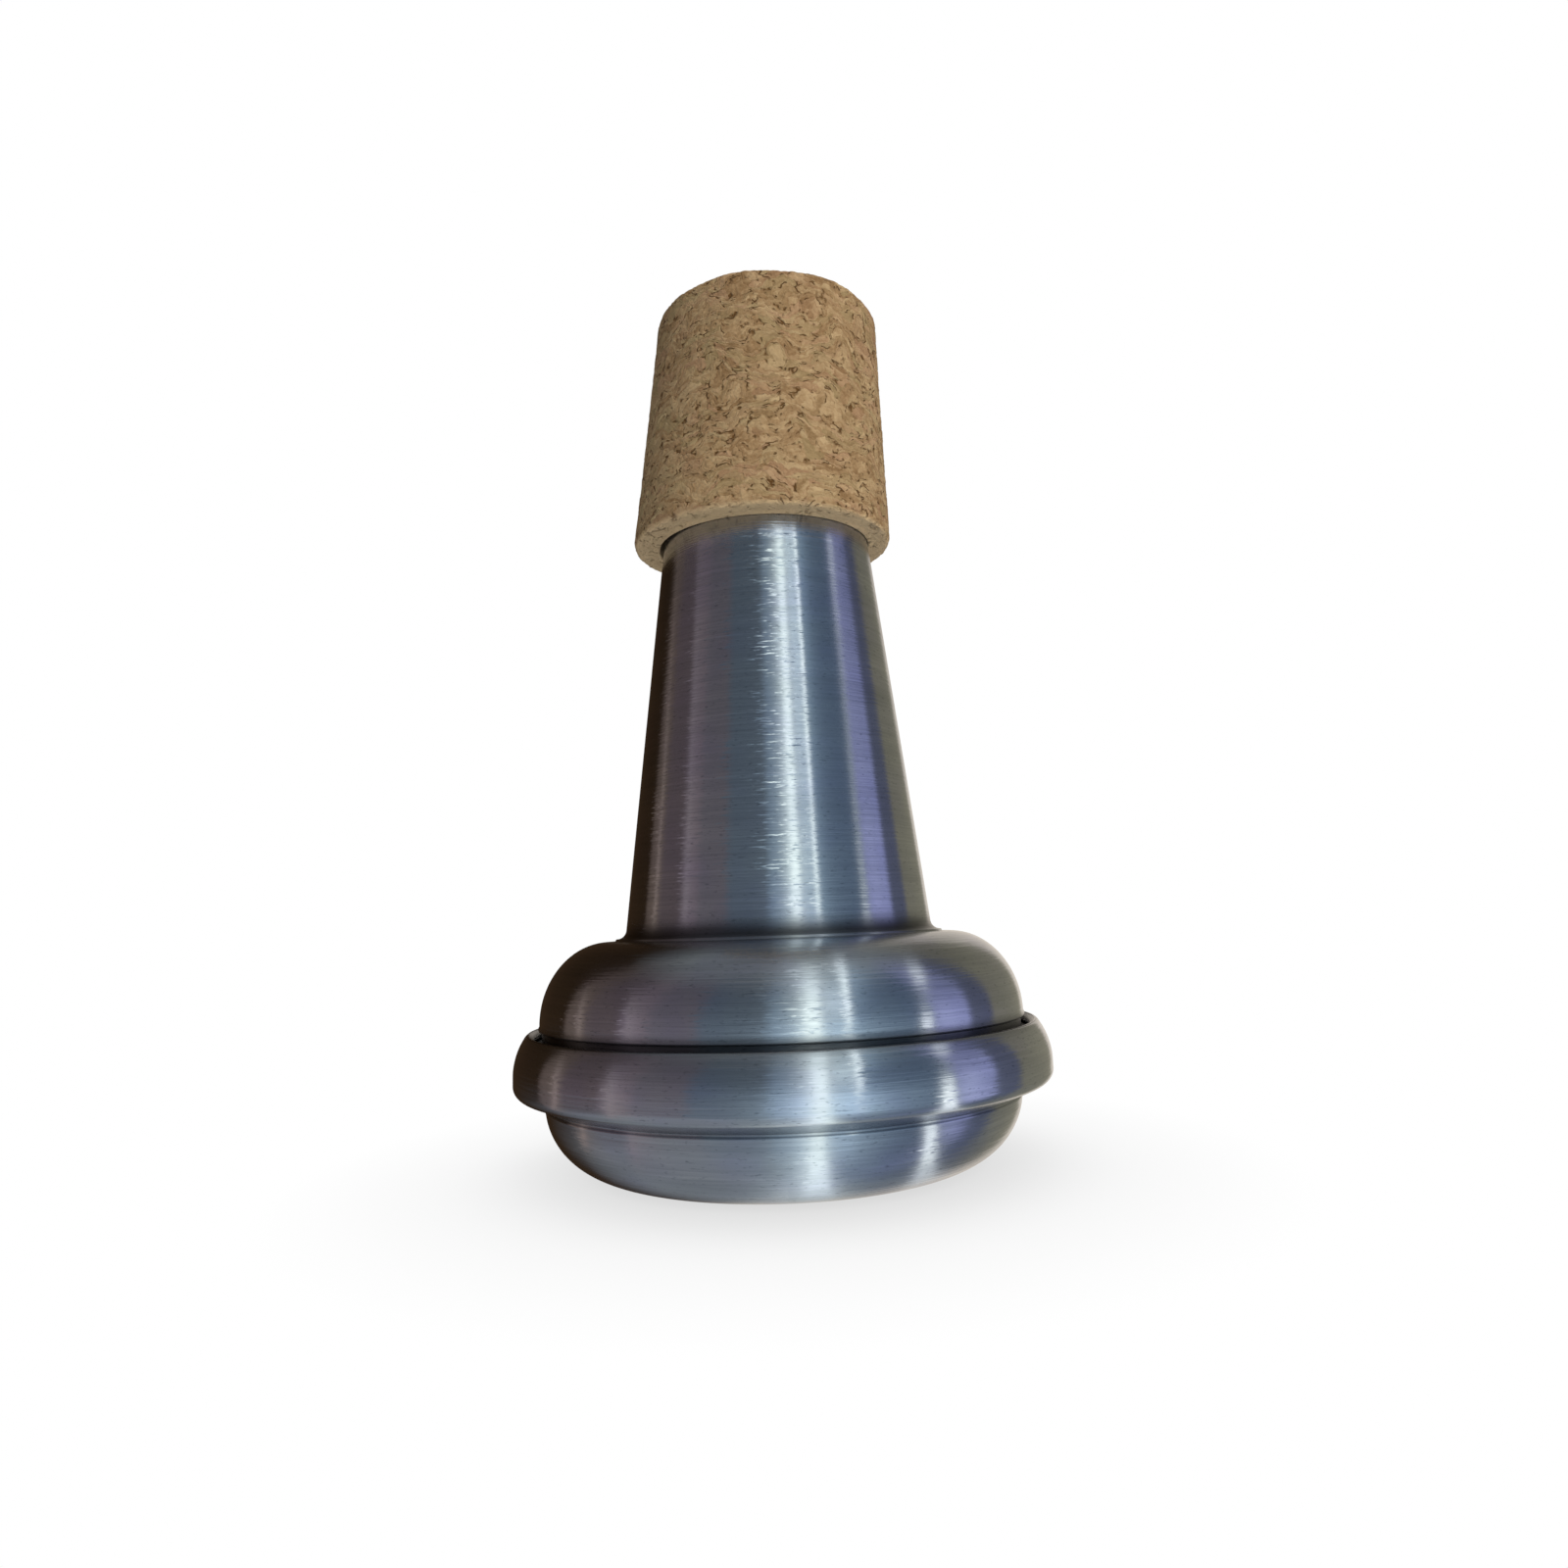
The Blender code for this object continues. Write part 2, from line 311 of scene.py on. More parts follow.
@dataclass(frozen=True)
class Finish:
    """A material, named for what the real one is and how its surface was made."""

    name: str

    def shader(self, node: Adder) -> Socket:
        """The finish's own shader.

        Args:
            node: adds a node to the material.

        Returns:
            The shader's output.
        """
        raise NotImplementedError

    def build(self) -> bpy.types.Material:
        """Makes the material round its shader.

        Returns:
            The material.
        """
        material = bpy.data.materials.new(self.name)
        material.use_nodes = True
        material.node_tree.nodes.clear()
        node = partial(add, material.node_tree)
        node("OutputMaterial", {"Surface": self.shader(node)})
        return material


@dataclass(frozen=True)
class SpunAluminium(Finish):
    """Aluminium sheet spun on a lathe: the tool leaves fine lines round the axis, which smear what the
    metal mirrors up and down, keep it sharp from side to side and fray its edges.

    Real lines lie about 0.1 mm apart. They are drawn 0.27 mm apart, so that the render shows them.
    A span gives the noise levels at which something starts and is full.
    """

    name: str = "spun_aluminium"
    colour: str = "#C4C8CC"
    tinged: str = "#B9BBCB"
    worn: str = "#A4A9B0"
    pit: str = "#6E757D"
    # Painted shade: near black laid over the metal in gaps, creases and where the foot meets the floor.
    grime: str = "#1F1C1D"
    roughness: float = 0.165
    roughness_swing: float = 0.06
    painted_shade_roughness: float = 0.3
    anisotropy: float = 1.0
    line_mm: float = 0.27
    line_arc_mm: float = 2.2
    line_depth_mm: float = 0.055
    ring_arc_mm: float = 200.0
    band_arc_mm: float = 24.0
    band_mm: float = 3.2
    tinge_mm: float = 7.0
    pit_arc_mm: float = 0.8
    pit_mm: float = 0.24
    fray_mm: float = 0.22
    height_shares: tuple[float, float, float] = (0.5, 0.3, 0.2)
    band_share: float = 0.4
    tinge_span: Pair = (0.4, 0.65)
    wear_span: Pair = (0.36, 0.64)
    pit_span: Pair = (0.62, 0.78)
    pit_share: float = 0.5
    sideways: float = 0.045
    dash_span: Pair = (0.56, 0.66)
    dash: float = 0.1
    patch_span: Pair = (0.35, 0.65)
    patch_swing: Pair = (0.35, 1.5)

    def shader(self, node: Adder) -> Socket:
        """Tool lines, bands, pits, sideways dashes, and painted shade in gaps, creases and at the foot.

        Args:
            node: adds a node to the material.

        Returns:
            The shader's output.
        """
        place = node("TexCoord", output="Object")
        level = node("VectorMath", {0: place, 1: (1.0, 1.0, 0.0)}, operation="MULTIPLY")
        along, painted_shade_share, chatter = (
            node("Attribute", output="Fac", attribute_name=mark) for mark in ("along", "grime", "chatter")
        )

        def lines(arc_mm: float, step_mm: float, detail: float, shift: float) -> Socket:
            """Noise drawn out round the axis.

            Args:
                arc_mm: length of an arc.
                step_mm: distance between two arcs along the section.
                detail: number of finer octaves.
                shift: where in the noise the pattern starts.

            Returns:
                The noise, 0 to 1.
            """
            wide = node("VectorMath", {0: level, "Scale": 1.0 / (arc_mm * MM)}, operation="SCALE")
            high = node("Math", {0: along, 1: 1.0 / step_mm, 2: shift}, operation="MULTIPLY_ADD")
            spot = node("VectorMath", {0: wide, 1: node("CombineXYZ", {"Z": high})})
            return node("TexNoise", {"Vector": spot, "Scale": 1.0, "Detail": detail, "Roughness": 0.6})

        fine = lines(self.line_arc_mm * 5, self.line_mm, 2.0, 0.0)
        coarse = lines(self.line_arc_mm * 9, self.line_mm * 3, 3.0, 40.0)
        rings = lines(self.ring_arc_mm, self.line_mm * 1.6, 2.0, 90.0)
        bands = lines(self.band_arc_mm, self.band_mm, 2.0, 170.0)
        frays = lines(self.line_arc_mm, self.fray_mm, 2.0, 230.0)
        pits = lines(self.pit_arc_mm, self.pit_mm, 1.0, 310.0)
        height = weighted(node, *zip((fine, coarse, rings), self.height_shares))
        wear = weighted(node, (height, 1.0 - self.band_share), (bands, self.band_share))

        clouds = node("TexNoise", {"Vector": place, "Scale": 1.0 / (self.tinge_mm * MM), "Detail": 2.0})
        tinge = node("MapRange", {"Value": clouds, **limits(*self.tinge_span)})
        worn = node("MapRange", {"Value": wear, **limits(*self.wear_span, 1.0, 0.0)})
        pitted = node("MapRange", {"Value": pits, **limits(*self.pit_span, most=self.pit_share)})
        # The last layer is painted shade, from the mark that each piece gives at its gaps and creases.
        skin = layered(
            node, self.colour, (tinge, self.tinged), (worn, self.worn), (pitted, self.pit), (painted_shade_share, self.grime)
        )
        smoothest = self.roughness - self.roughness_swing / 2
        # The metal is also rougher where the shade is painted.
        rough = weighted(node, (worn, self.roughness_swing), (painted_shade_share, self.painted_shade_roughness), start=smoothest)

        bump = node("Bump", {"Distance": self.line_depth_mm * MM, "Height": height})
        swing = node("MapRange", {"Value": frays, **limits(0.0, 1.0, -self.sideways / 2, self.sideways / 2)})
        dashes = node(
            "MapRange",
            {"Value": frays, **limits(*self.dash_span, most=self.dash)},
            interpolation_type="SMOOTHSTEP",
        )
        patches = node("MapRange", {"Value": bands, **limits(*self.patch_span, *self.patch_swing)})
        local = node("Math", {0: patches, 1: chatter}, operation="MULTIPLY")
        tilt = node("Math", {0: node("Math", {0: dashes, 1: swing}), 1: local}, operation="MULTIPLY")
        outwards = node("VectorMath", {0: level}, operation="NORMALIZE")
        aside = node("VectorMath", {0: (0.0, 0.0, 1.0), 1: outwards}, operation="CROSS_PRODUCT")
        push = node("VectorMath", {0: aside, "Scale": tilt}, operation="SCALE")
        tipped = node("VectorMath", {0: bump, 1: push})
        return node("BsdfPrincipled", {
            "Base Color": skin,
            "Metallic": 1.0,
            "Roughness": rough,
            "Anisotropic": self.anisotropy,
            "Anisotropic Rotation": 0.25,
            "Normal": node("VectorMath", {0: tipped}, operation="NORMALIZE"),
            "Tangent": node("Tangent", direction_type="RADIAL", axis="Z"),
        })


@dataclass(frozen=True)
class AgglomeratedCork(Finish):
    """Cork granules pressed with a binder and ground round: matt and tan, with flat flakes that lean to
    and fro, short dark cracks where they meet, pale flecks, and a lower edge painted paler as light from
    below."""

    name: str = "agglomerated_cork"
    dark: str = "#7C6244"
    middle: str = "#907757"
    pale: str = "#A68F6D"
    rosy: str = "#9B7B61"
    mossy: str = "#8C7E5B"
    fleck: str = "#C4AC86"
    crack: str = "#573D20"
    # Painted light from below: the colour that the lower edge and underside are made paler with.
    underlight_colour: str = "#D6BE97"
    flake_mm: Pair = (2.7, 0.95)
    chip_mm: Pair = (1.3, 0.5)
    speck_mm: float = 0.4
    leans_mm: tuple[Pair, ...] = ((5.0, 7.0), (0.8, 0.9))
    big_crack: Pair = (0.1, 0.02)
    big_patch: Pair = (0.53, 0.64)
    big_patch_mm: float = 1.1
    small_crack: Pair = (0.13, 0.03)
    small_patch: Pair = (0.64, 0.74)
    small_patch_mm: float = 1.0
    shade_shares: tuple[float, float, float, float] = (0.28, 0.34, 0.5, 0.18)
    shade_stops: tuple[float, float, float] = (0.36, 0.6, 0.92)
    roughness: float = 0.88
    depth_mm: float = 0.16

    def shader(self, node: Adder) -> Socket:
        """Two sizes of flakes, the cracks between them, the mesh's own grain, and the painted light along the
        lower edge.

        Args:
            node: adds a node to the material.

        Returns:
            The shader's output.
        """
        place = node("TexCoord", output="Object")
        tint, seam, trim = (
            node("Attribute", output="Fac", attribute_name=mark) for mark in ("tint", "seam", "trim")
        )
        mm = node("VectorMath", {0: place, "Scale": 1.0 / MM}, operation="SCALE")
        leaning = mm
        for size_mm, reach_mm in self.leans_mm:
            noise = node("TexNoise", {"Vector": mm, "Scale": 1.0 / size_mm, "Detail": 1.0}, "Color")
            centred = node("VectorMath", {0: noise, 1: (0.5, 0.5, 0.5)}, operation="SUBTRACT")
            push = node("VectorMath", {0: centred, "Scale": reach_mm}, operation="SCALE")
            leaning = node("VectorMath", {0: leaning, 1: push})

        def flakes(size: Pair, feature: str, output: str) -> Socket:
            """Cells of the leaning grain.

            Args:
                size: width and height of a flake, in mm.
                feature: what is measured in a cell.
                output: name of the measure.

            Returns:
                The measure.
            """
            flat = (1.0 / size[0], 1.0 / size[0], 1.0 / size[1])
            spot = node("VectorMath", {0: leaning, 1: flat}, operation="MULTIPLY")
            return node("TexVoronoi", {"Vector": spot, "Scale": 1.0}, output, feature=feature)

        def cracked(edge: Socket, width: Pair, patch_mm: float, patch: Pair) -> Socket:
            """Cracks along the edges of flakes, here and there.

            Args:
                edge: distance to the edge.
                width: distances at which a crack fades out and is full.
                patch_mm: size of the patches that have cracks.
                patch: noise levels at which a patch starts and is full.

            Returns:
                Share of a crack, 0 to 1.
            """
            noise = node("TexNoise", {"Vector": mm, "Scale": 1.0 / patch_mm, "Detail": 2.0})
            line = node("MapRange", {"Value": edge, **limits(*width)})
            gap = node("MapRange", {"Value": noise, **limits(*patch)})
            return node("Math", {0: line, 1: gap}, operation="MULTIPLY")

        big_edge = flakes(self.flake_mm, "DISTANCE_TO_EDGE", "Distance")
        small_edge = flakes(self.chip_mm, "DISTANCE_TO_EDGE", "Distance")
        big_cracks = cracked(big_edge, self.big_crack, self.big_patch_mm, self.big_patch)
        small_cracks = cracked(small_edge, self.small_crack, self.small_patch_mm, self.small_patch)
        cracks = node("Math", {0: big_cracks, 1: small_cracks}, operation="MAXIMUM")
        specks = node("TexNoise", {"Vector": mm, "Scale": 1.0 / self.speck_mm, "Detail": 2.0})

        own, chip = (
            node("SeparateColor", {"Color": flakes(size, "F1", "Color")}).node.outputs
            for size in (self.flake_mm, self.chip_mm)
        )
        shade = weighted(node, *zip((own["Red"], chip["Red"], specks, tint), self.shade_shares))
        skin = node("ValToRGB", {"Fac": shade})
        stops = skin.node.color_ramp.elements
        stops[0].position, stops[0].color = self.shade_stops[0], paint(self.dark)
        stops[1].position, stops[1].color = self.shade_stops[2], paint(self.pale)
        stops.new(self.shade_stops[1]).color = paint(self.middle)
        for value, low, high, most, colour in (
            (own["Green"], 0.6, 0.95, 0.45, self.rosy),
            (own["Blue"], 0.6, 0.95, 0.45, self.mossy),
            (chip["Green"], 0.92, 0.99, 0.35, self.fleck),
            # painted light from below: the lower edge made paler, as light bounced up from the floor would
            (trim, 0.0, 1.0, 0.65, self.underlight_colour),
        ):
            share = node("MapRange", {"Value": value, **limits(low, high, most=most)})
            skin = layered(node, skin, (share, colour))
        dark = node("Math", {0: cracks, 1: seam}, operation="MAXIMUM")
        # Cracks show only half as dark in the painted light along the lower edge.
        beyond_underlight = weighted(node, (trim, -0.5), start=1.0)
        skin = layered(node, skin, (node("Math", {0: dark, 1: beyond_underlight}, operation="MULTIPLY"), self.crack))

        chips = node("MapRange", {"Value": small_edge, **limits(0.0, 0.3)})
        height = weighted(node, (cracks, -1.0), (chips, 0.35), (specks, 0.5))
        return node("BsdfPrincipled", {
            "Base Color": skin,
            "Roughness": self.roughness,
            "IOR": 1.45,
            "Specular IOR Level": 0.3,
            "Normal": node("Bump", {"Distance": self.depth_mm * MM, "Height": height}),
        })


@dataclass(frozen=True)
class GrainedFinish(Finish):
    """A finish with one grain that shows in its colour, its gloss and its relief."""

    colour: str
    other: str
    grain_mm: tuple[float, float, float]
    detail: float
    warp: float
    depth_mm: float
    roughness: float
    roughness_swing: float
    nature: tuple[tuple[str, float], ...]

    def shader(self, node: Adder) -> Socket:
        """One noise, with grains of the given length along X, Y and Z.

        Args:
            node: adds a node to the material.

        Returns:
            The shader's output.
        """
        scale = tuple(1.0 / (size * MM) for size in self.grain_mm)
        spot = node("VectorMath", {0: node("TexCoord", output="Object"), 1: scale}, operation="MULTIPLY")
        grain = node(
            "TexNoise", {"Vector": spot, "Scale": 1.0, "Detail": self.detail, "Distortion": self.warp}
        )
        rough = self.roughness
        if self.roughness_swing:
            span = limits(0.3, 0.7, rough - self.roughness_swing, rough + self.roughness_swing)
            rough = node("MapRange", {"Value": grain, **span})
        return node("BsdfPrincipled", {
            "Base Color": layered(node, self.colour, (grain, self.other)),
            "Roughness": rough,
            "Normal": node("Bump", {"Distance": self.depth_mm * MM, "Height": grain}),
            **dict(self.nature),
        })


@dataclass(frozen=True)
class DrawnAluminium(GrainedFinish):
    """Aluminium tube drawn through a die: dull, with lines that run along it. Real ones are finer, and are
    drawn 0.35 mm wide so that they show."""

    name: str = "drawn_aluminium"
    colour: str = "#9A9EA3"
    other: str = "#B4B7BA"
    grain_mm: tuple[float, float, float] = (0.35, 0.35, 9.0)
    detail: float = 3.0
    warp: float = 0.0
    depth_mm: float = 0.012
    roughness: float = 0.38
    roughness_swing: float = 0.08
    nature: tuple[tuple[str, float], ...] = (("Metallic", 1.0),)


@dataclass(frozen=True)
class BlackRubber(GrainedFinish):
    """Moulded black rubber: near black, with a soft uneven gloss."""

    name: str = "black_rubber"
    colour: str = "#171717"
    other: str = "#2B2A28"
    grain_mm: tuple[float, float, float] = (0.6, 0.6, 0.6)
    detail: float = 3.0
    warp: float = 0.0
    depth_mm: float = 0.02
    roughness: float = 0.62
    roughness_swing: float = 0.0
    nature: tuple[tuple[str, float], ...] = (("IOR", 1.52),)


@dataclass(frozen=True)
class WoolFelt(GrainedFinish):
    """Pressed charcoal wool felt: matt fibres in every direction, lighter at grazing angles. Real fibres
    are finer, and are drawn 0.3 mm wide so that they show."""

    name: str = "wool_felt"
    colour: str = "#3A3A3D"
    other: str = "#5B5A5C"
    grain_mm: tuple[float, float, float] = (0.3, 0.3, 0.3)
    detail: float = 4.0
    warp: float = 2.0
    depth_mm: float = 0.12
    roughness: float = 0.95
    roughness_swing: float = 0.0
    nature: tuple[tuple[str, float], ...] = (("IOR", 1.5), ("Sheen Weight", 0.4), ("Sheen Roughness", 0.5))


# Pieces


def placed(name: str, data: bpy.types.ID) -> bpy.types.Object:
    """A new object in the scene, at the origin."""
    item = bpy.data.objects.new(name, data)
    bpy.context.scene.collection.objects.link(item)
    return item


@dataclass
class TurnedPiece:
    """A closed section carried round the axis, in place of one CAD node."""

    name: str
    node: str
    slot: Slot
    turns: int
    sharp_angle: Optional[float] = None

    def __post_init__(self) -> None:
        """Turns the section. Distances along it are in mm, and the grid's places are in metres."""
        self.line = self.section()
        self.along = np.concatenate([[0.0], np.cumsum(np.linalg.norm(np.diff(self.line, axis=0), axis=1))])
        self.angles = (np.arange(self.turns) * TURN / self.turns)[:, None]
        self.grid = self.carried(self.line) * MM

    def section(self) -> Array:
        """The piece's closed section, as (radius, height) points in mm."""
        raise NotImplementedError

    def carve(self) -> Mapping[str, Union[float, Array]]:
        """Works relief into the grid, and gives the marks that the finish reads at its points."""
        return {}

    def carried(self, pairs: Array) -> Array:
        """The section's points or normals at each turn a: (radial * cos a, radial * sin a, upright).

        Args:
            pairs: radial and upright part of each.

        Returns:
            A grid of them, turns first.
        """
        radial, upright = pairs.T
        x, y = radial * np.cos(self.angles), radial * np.sin(self.angles)
        return np.stack([x, y, np.broadcast_to(upright, x.shape)], axis=-1)

    def winding(self) -> float:
        """Plus one for a section drawn anticlockwise in (radius, height), minus one for the other way."""
        x, z = self.line.T
        return float(np.sign(np.sum(x * np.roll(z, -1) - np.roll(x, -1) * z)))

    def push(self, height: Array) -> None:
        """Moves the grid's places along their normals, away from the material.

        A normal is the chord between a point's two neighbours, turned a quarter, with its sign from the
        area that the section walks round.

        Args:
            height: how far each place moves, in mm.
        """
        chord = np.roll(self.line, -1, axis=0) - np.roll(self.line, 1, axis=0)
        normals = np.stack([chord[:, 1], -chord[:, 0]], axis=1)
        normals /= np.maximum(np.linalg.norm(normals, axis=1), 1e-9)[:, None]
        self.grid = self.grid + self.carried(normals * self.winding()) * (height * MM)[..., None]

    def mesh(self, marks: Mapping[str, Union[float, Array]]) -> bpy.types.Mesh:
        """A smooth mesh on the grid, which closes on itself both ways.

        Cell (i, j) joins points (i, j), (i + 1, j), (i + 1, j + 1) and (i, j + 1), counted round the end.

        Args:
            marks: values at the points, for one attribute each.

        Returns:
            The mesh, with a UV map of turns against the share of the section's points.
        """
        turns, count = self.grid.shape[:2]
        i = np.arange(turns)[:, None, None] + np.array([0, 1, 1, 0])
        j = np.arange(count)[None, :, None] + np.array([0, 0, 1, 1])
        if self.winding() < 0:
            i, j = i[..., ::-1], j[..., ::-1]
        cells = i % turns * count + j % count
        spread = np.stack(np.broadcast_arrays(i / turns, j / count), axis=-1)
        mesh = bpy.data.meshes.new(self.name)
        mesh.vertices.add(turns * count)
        mesh.vertices.foreach_set("co", self.grid.astype(np.float32).ravel())
        mesh.loops.add(cells.size)
        mesh.loops.foreach_set("vertex_index", cells.astype(np.int32).ravel())
        mesh.polygons.add(turns * count)
        mesh.polygons.foreach_set("loop_start", np.arange(0, cells.size, 4, dtype=np.int32))
        mesh.update(calc_edges=True)
        mesh.uv_layers.new(name="turns").data.foreach_set("uv", spread.astype(np.float32).ravel())
        for key, values in marks.items():
            values = np.broadcast_to(values, (turns, count)).astype(np.float32)
            mesh.attributes.new(key, "FLOAT", "POINT").data.foreach_set("value", values.ravel())
        mesh.validate()
        mesh.shade_smooth()
        if self.sharp_angle:
            mesh.set_sharp_from_angle(angle=math.radians(self.sharp_angle))
        return mesh

    def build(self, finish: bpy.types.Material) -> bpy.types.Object:
        """Carves the piece, dresses it and puts it in the scene in place of its CAD node.

        Args:
            finish: its material.

        Returns:
            The piece.
        """
        mesh = self.mesh(self.carve())
        mesh.materials.append(finish)
        piece = placed(self.name, mesh)
        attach(piece, ROOT)
        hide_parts(self.node)
        log.info("%s: %d faces, in place of %s", self.name, len(mesh.polygons), self.node)
        return piece


@dataclass(frozen=True)
class Cone:
    """Outside of the tapered neck, which the cork's bore follows too. Sizes in mm."""

    top_radius: float = 10.3
    top: float = 111.0
    slope: float = 0.11396

    def radius(self, height: Union[float, Array]) -> Union[float, Array]:
        """Radius at a height: it grows by the slope for each mm below the top."""
        return self.top_radius + (self.top - height) * self.slope


@dataclass
class NeckShell(TurnedPiece):
    """Upper sheet: neck, low ring at its foot, shoulder, skirt, tuck and hidden flange. Sizes in mm."""

    name: str = "neck_shell_spun"
    node: str = "neck_shell"
    slot: Slot = Slot.SPUN
    turns: int = 192
    sharp_angle: Optional[float] = 50.0
    cone: Cone = Cone()
    sheet: float = 1.0
    fillet: float = 1.2
    ring_height: float = 0.3
    ring_ledge: float = 0.1
    ring_slope: float = 0.15
    ledge: float = 0.9
    shoulder_top: float = 27.9
    shoulder_low: float = 18.0
    skirt_radius: float = 30.55
    skirt_flare: float = 0.15
    skirt_edge: float = 17.4
    skirt_edge_round: float = 0.3
    tuck_radius: float = 30.05
    tuck_low: float = 16.0
    flange_bend: float = 0.5
    flange_top: float = 12.13
    flange_radius: float = 32.15
    top_round: float = 0.25
    ring_round: float = 0.07
    tuck_round: float = 0.1
    step: float = 0.6
    ripple: float = 0.010
    ripple_rate: float = 2.4
    chatter_least: float = 0.3
    chatter_start: float = 3.0
    chatter_rise: float = 10.0
    chatter_reach: float = 0.75
    calm_share: float = 0.9
    calm_middle: float = 0.75
    calm_reach: float = 0.545

    def fillet_line(self, bottom: float) -> Array:
        """Round between the neck and a flat at a height: a circle that touches both.

        Args:
            bottom: height of the flat, in mm.

        Returns:
            Its points, from the neck outwards.
        """
        taper = math.atan(self.cone.slope)
        height = bottom + self.fillet
        start = height - self.fillet * math.sin(taper)
        centre = (self.cone.radius(start) + self.fillet * math.cos(taper), height)
        return arc(centre, self.fillet, math.pi + taper, 3 * QUARTER, 12)

    def section(self) -> Array:
        """Draws the sheet down the outside and up the inside.

        Returns:
            The closed section, in mm.
        """
        top = (self.cone.top_radius, self.cone.top)
        foot = self.fillet_line(self.shoulder_top + self.ring_height)
        ring = foot[-1] + (self.ring_ledge, 0.0)
        ring_foot = np.array([ring[0] + self.ring_slope, self.shoulder_top])
        start = ring_foot[0] + self.ledge
        half_axes = (self.skirt_radius - self.skirt_flare - start, self.shoulder_top - self.shoulder_low)
        shoulder = arc((start, self.shoulder_low), half_axes, QUARTER, 0.0, 56)
        edge_centre = (self.skirt_radius - self.skirt_edge_round, self.skirt_edge + self.skirt_edge_round)
        edge = arc(edge_centre, self.skirt_edge_round, 0.0, -QUARTER, 8)
        tuck = (self.tuck_radius, self.skirt_edge)
        bend_centre = (self.tuck_radius + self.flange_bend, self.flange_top + self.flange_bend)
        bend = arc(bend_centre, self.flange_bend, math.pi, 3 * QUARTER, 7)
        flange = np.vstack([bend, [(self.flange_radius, self.flange_top)]])
        tuck_foot = [(self.tuck_radius, self.tuck_low)]
        inner = offset(
            np.vstack([[top], self.fillet_line(self.shoulder_top), shoulder, tuck_foot, flange]), self.sheet
        )
        inner[0, 1] = self.cone.top
        return np.vstack([
            refined(np.vstack([rounded(top, inner[0], foot[0], self.top_round), foot]), self.step),
            rounded(ring, foot[-1], ring_foot, self.ring_round),
            rounded(ring_foot, ring, shoulder[0], self.ring_round),
            shoulder,
            edge,
            rounded(tuck, edge[-1], flange[0], self.tuck_round),
            flange,
            refined(inner[:0:-1], self.step * 2),
            rounded(inner[0], inner[1], top, self.top_round),
        ])

    def carve(self) -> Mapping[str, Union[float, Array]]:
        """Presses in the shallow rings that the spinning tool leaves, and marks its chatter.

        The tool chattered most on the neck, on the side towards -Y: the share there is
        exp(-(turn from that side / reach) ** 2), with the reach in radians. Next to it, towards +X, is a
        calm stretch: exp(-((turn - its middle) / its half width) ** 24).

        Returns:
            The marks along, painted shade and chatter.
        """
        height = self.line[:, 1]
        outside = np.arange(len(height)) < int(np.argmin(height))
        rings = waves(self.angles, self.along * self.ripple_rate, seed=5, reach=2.0) * self.ripple
        self.push(np.where(outside, np.minimum(rings, 0.0), 0.0))
        turn = (self.angles + 3 * QUARTER) % TURN - math.pi
        neck = ramp(height, self.shoulder_top + self.chatter_start, self.chatter_rise) * outside
        facing = np.exp(-(turn / self.chatter_reach) ** 2)
        chatter = self.chatter_least + (1.0 - self.chatter_least) * facing * neck
        calm = np.exp(-np.minimum(np.abs(turn - self.calm_middle) / self.calm_reach, 2.0) ** 24)
        # Painted shade: darker in the gap under the skirt's edge, on the skirt's rolled edge and in the
        # groove at the neck's foot.
        grime = crease_shade(
            self.line,
            (self.tuck_radius, self.skirt_edge - 0.4, 0.45, 1.0),
            (self.skirt_radius, self.skirt_edge - 0.1, 0.8, 0.6),
            (self.cone.radius(self.shoulder_top) + 0.3, self.shoulder_top + 0.8, 1.35, 0.8),
        )
        return {"along": self.along, "grime": grime, "chatter": chatter * (1.0 - self.calm_share * calm)}


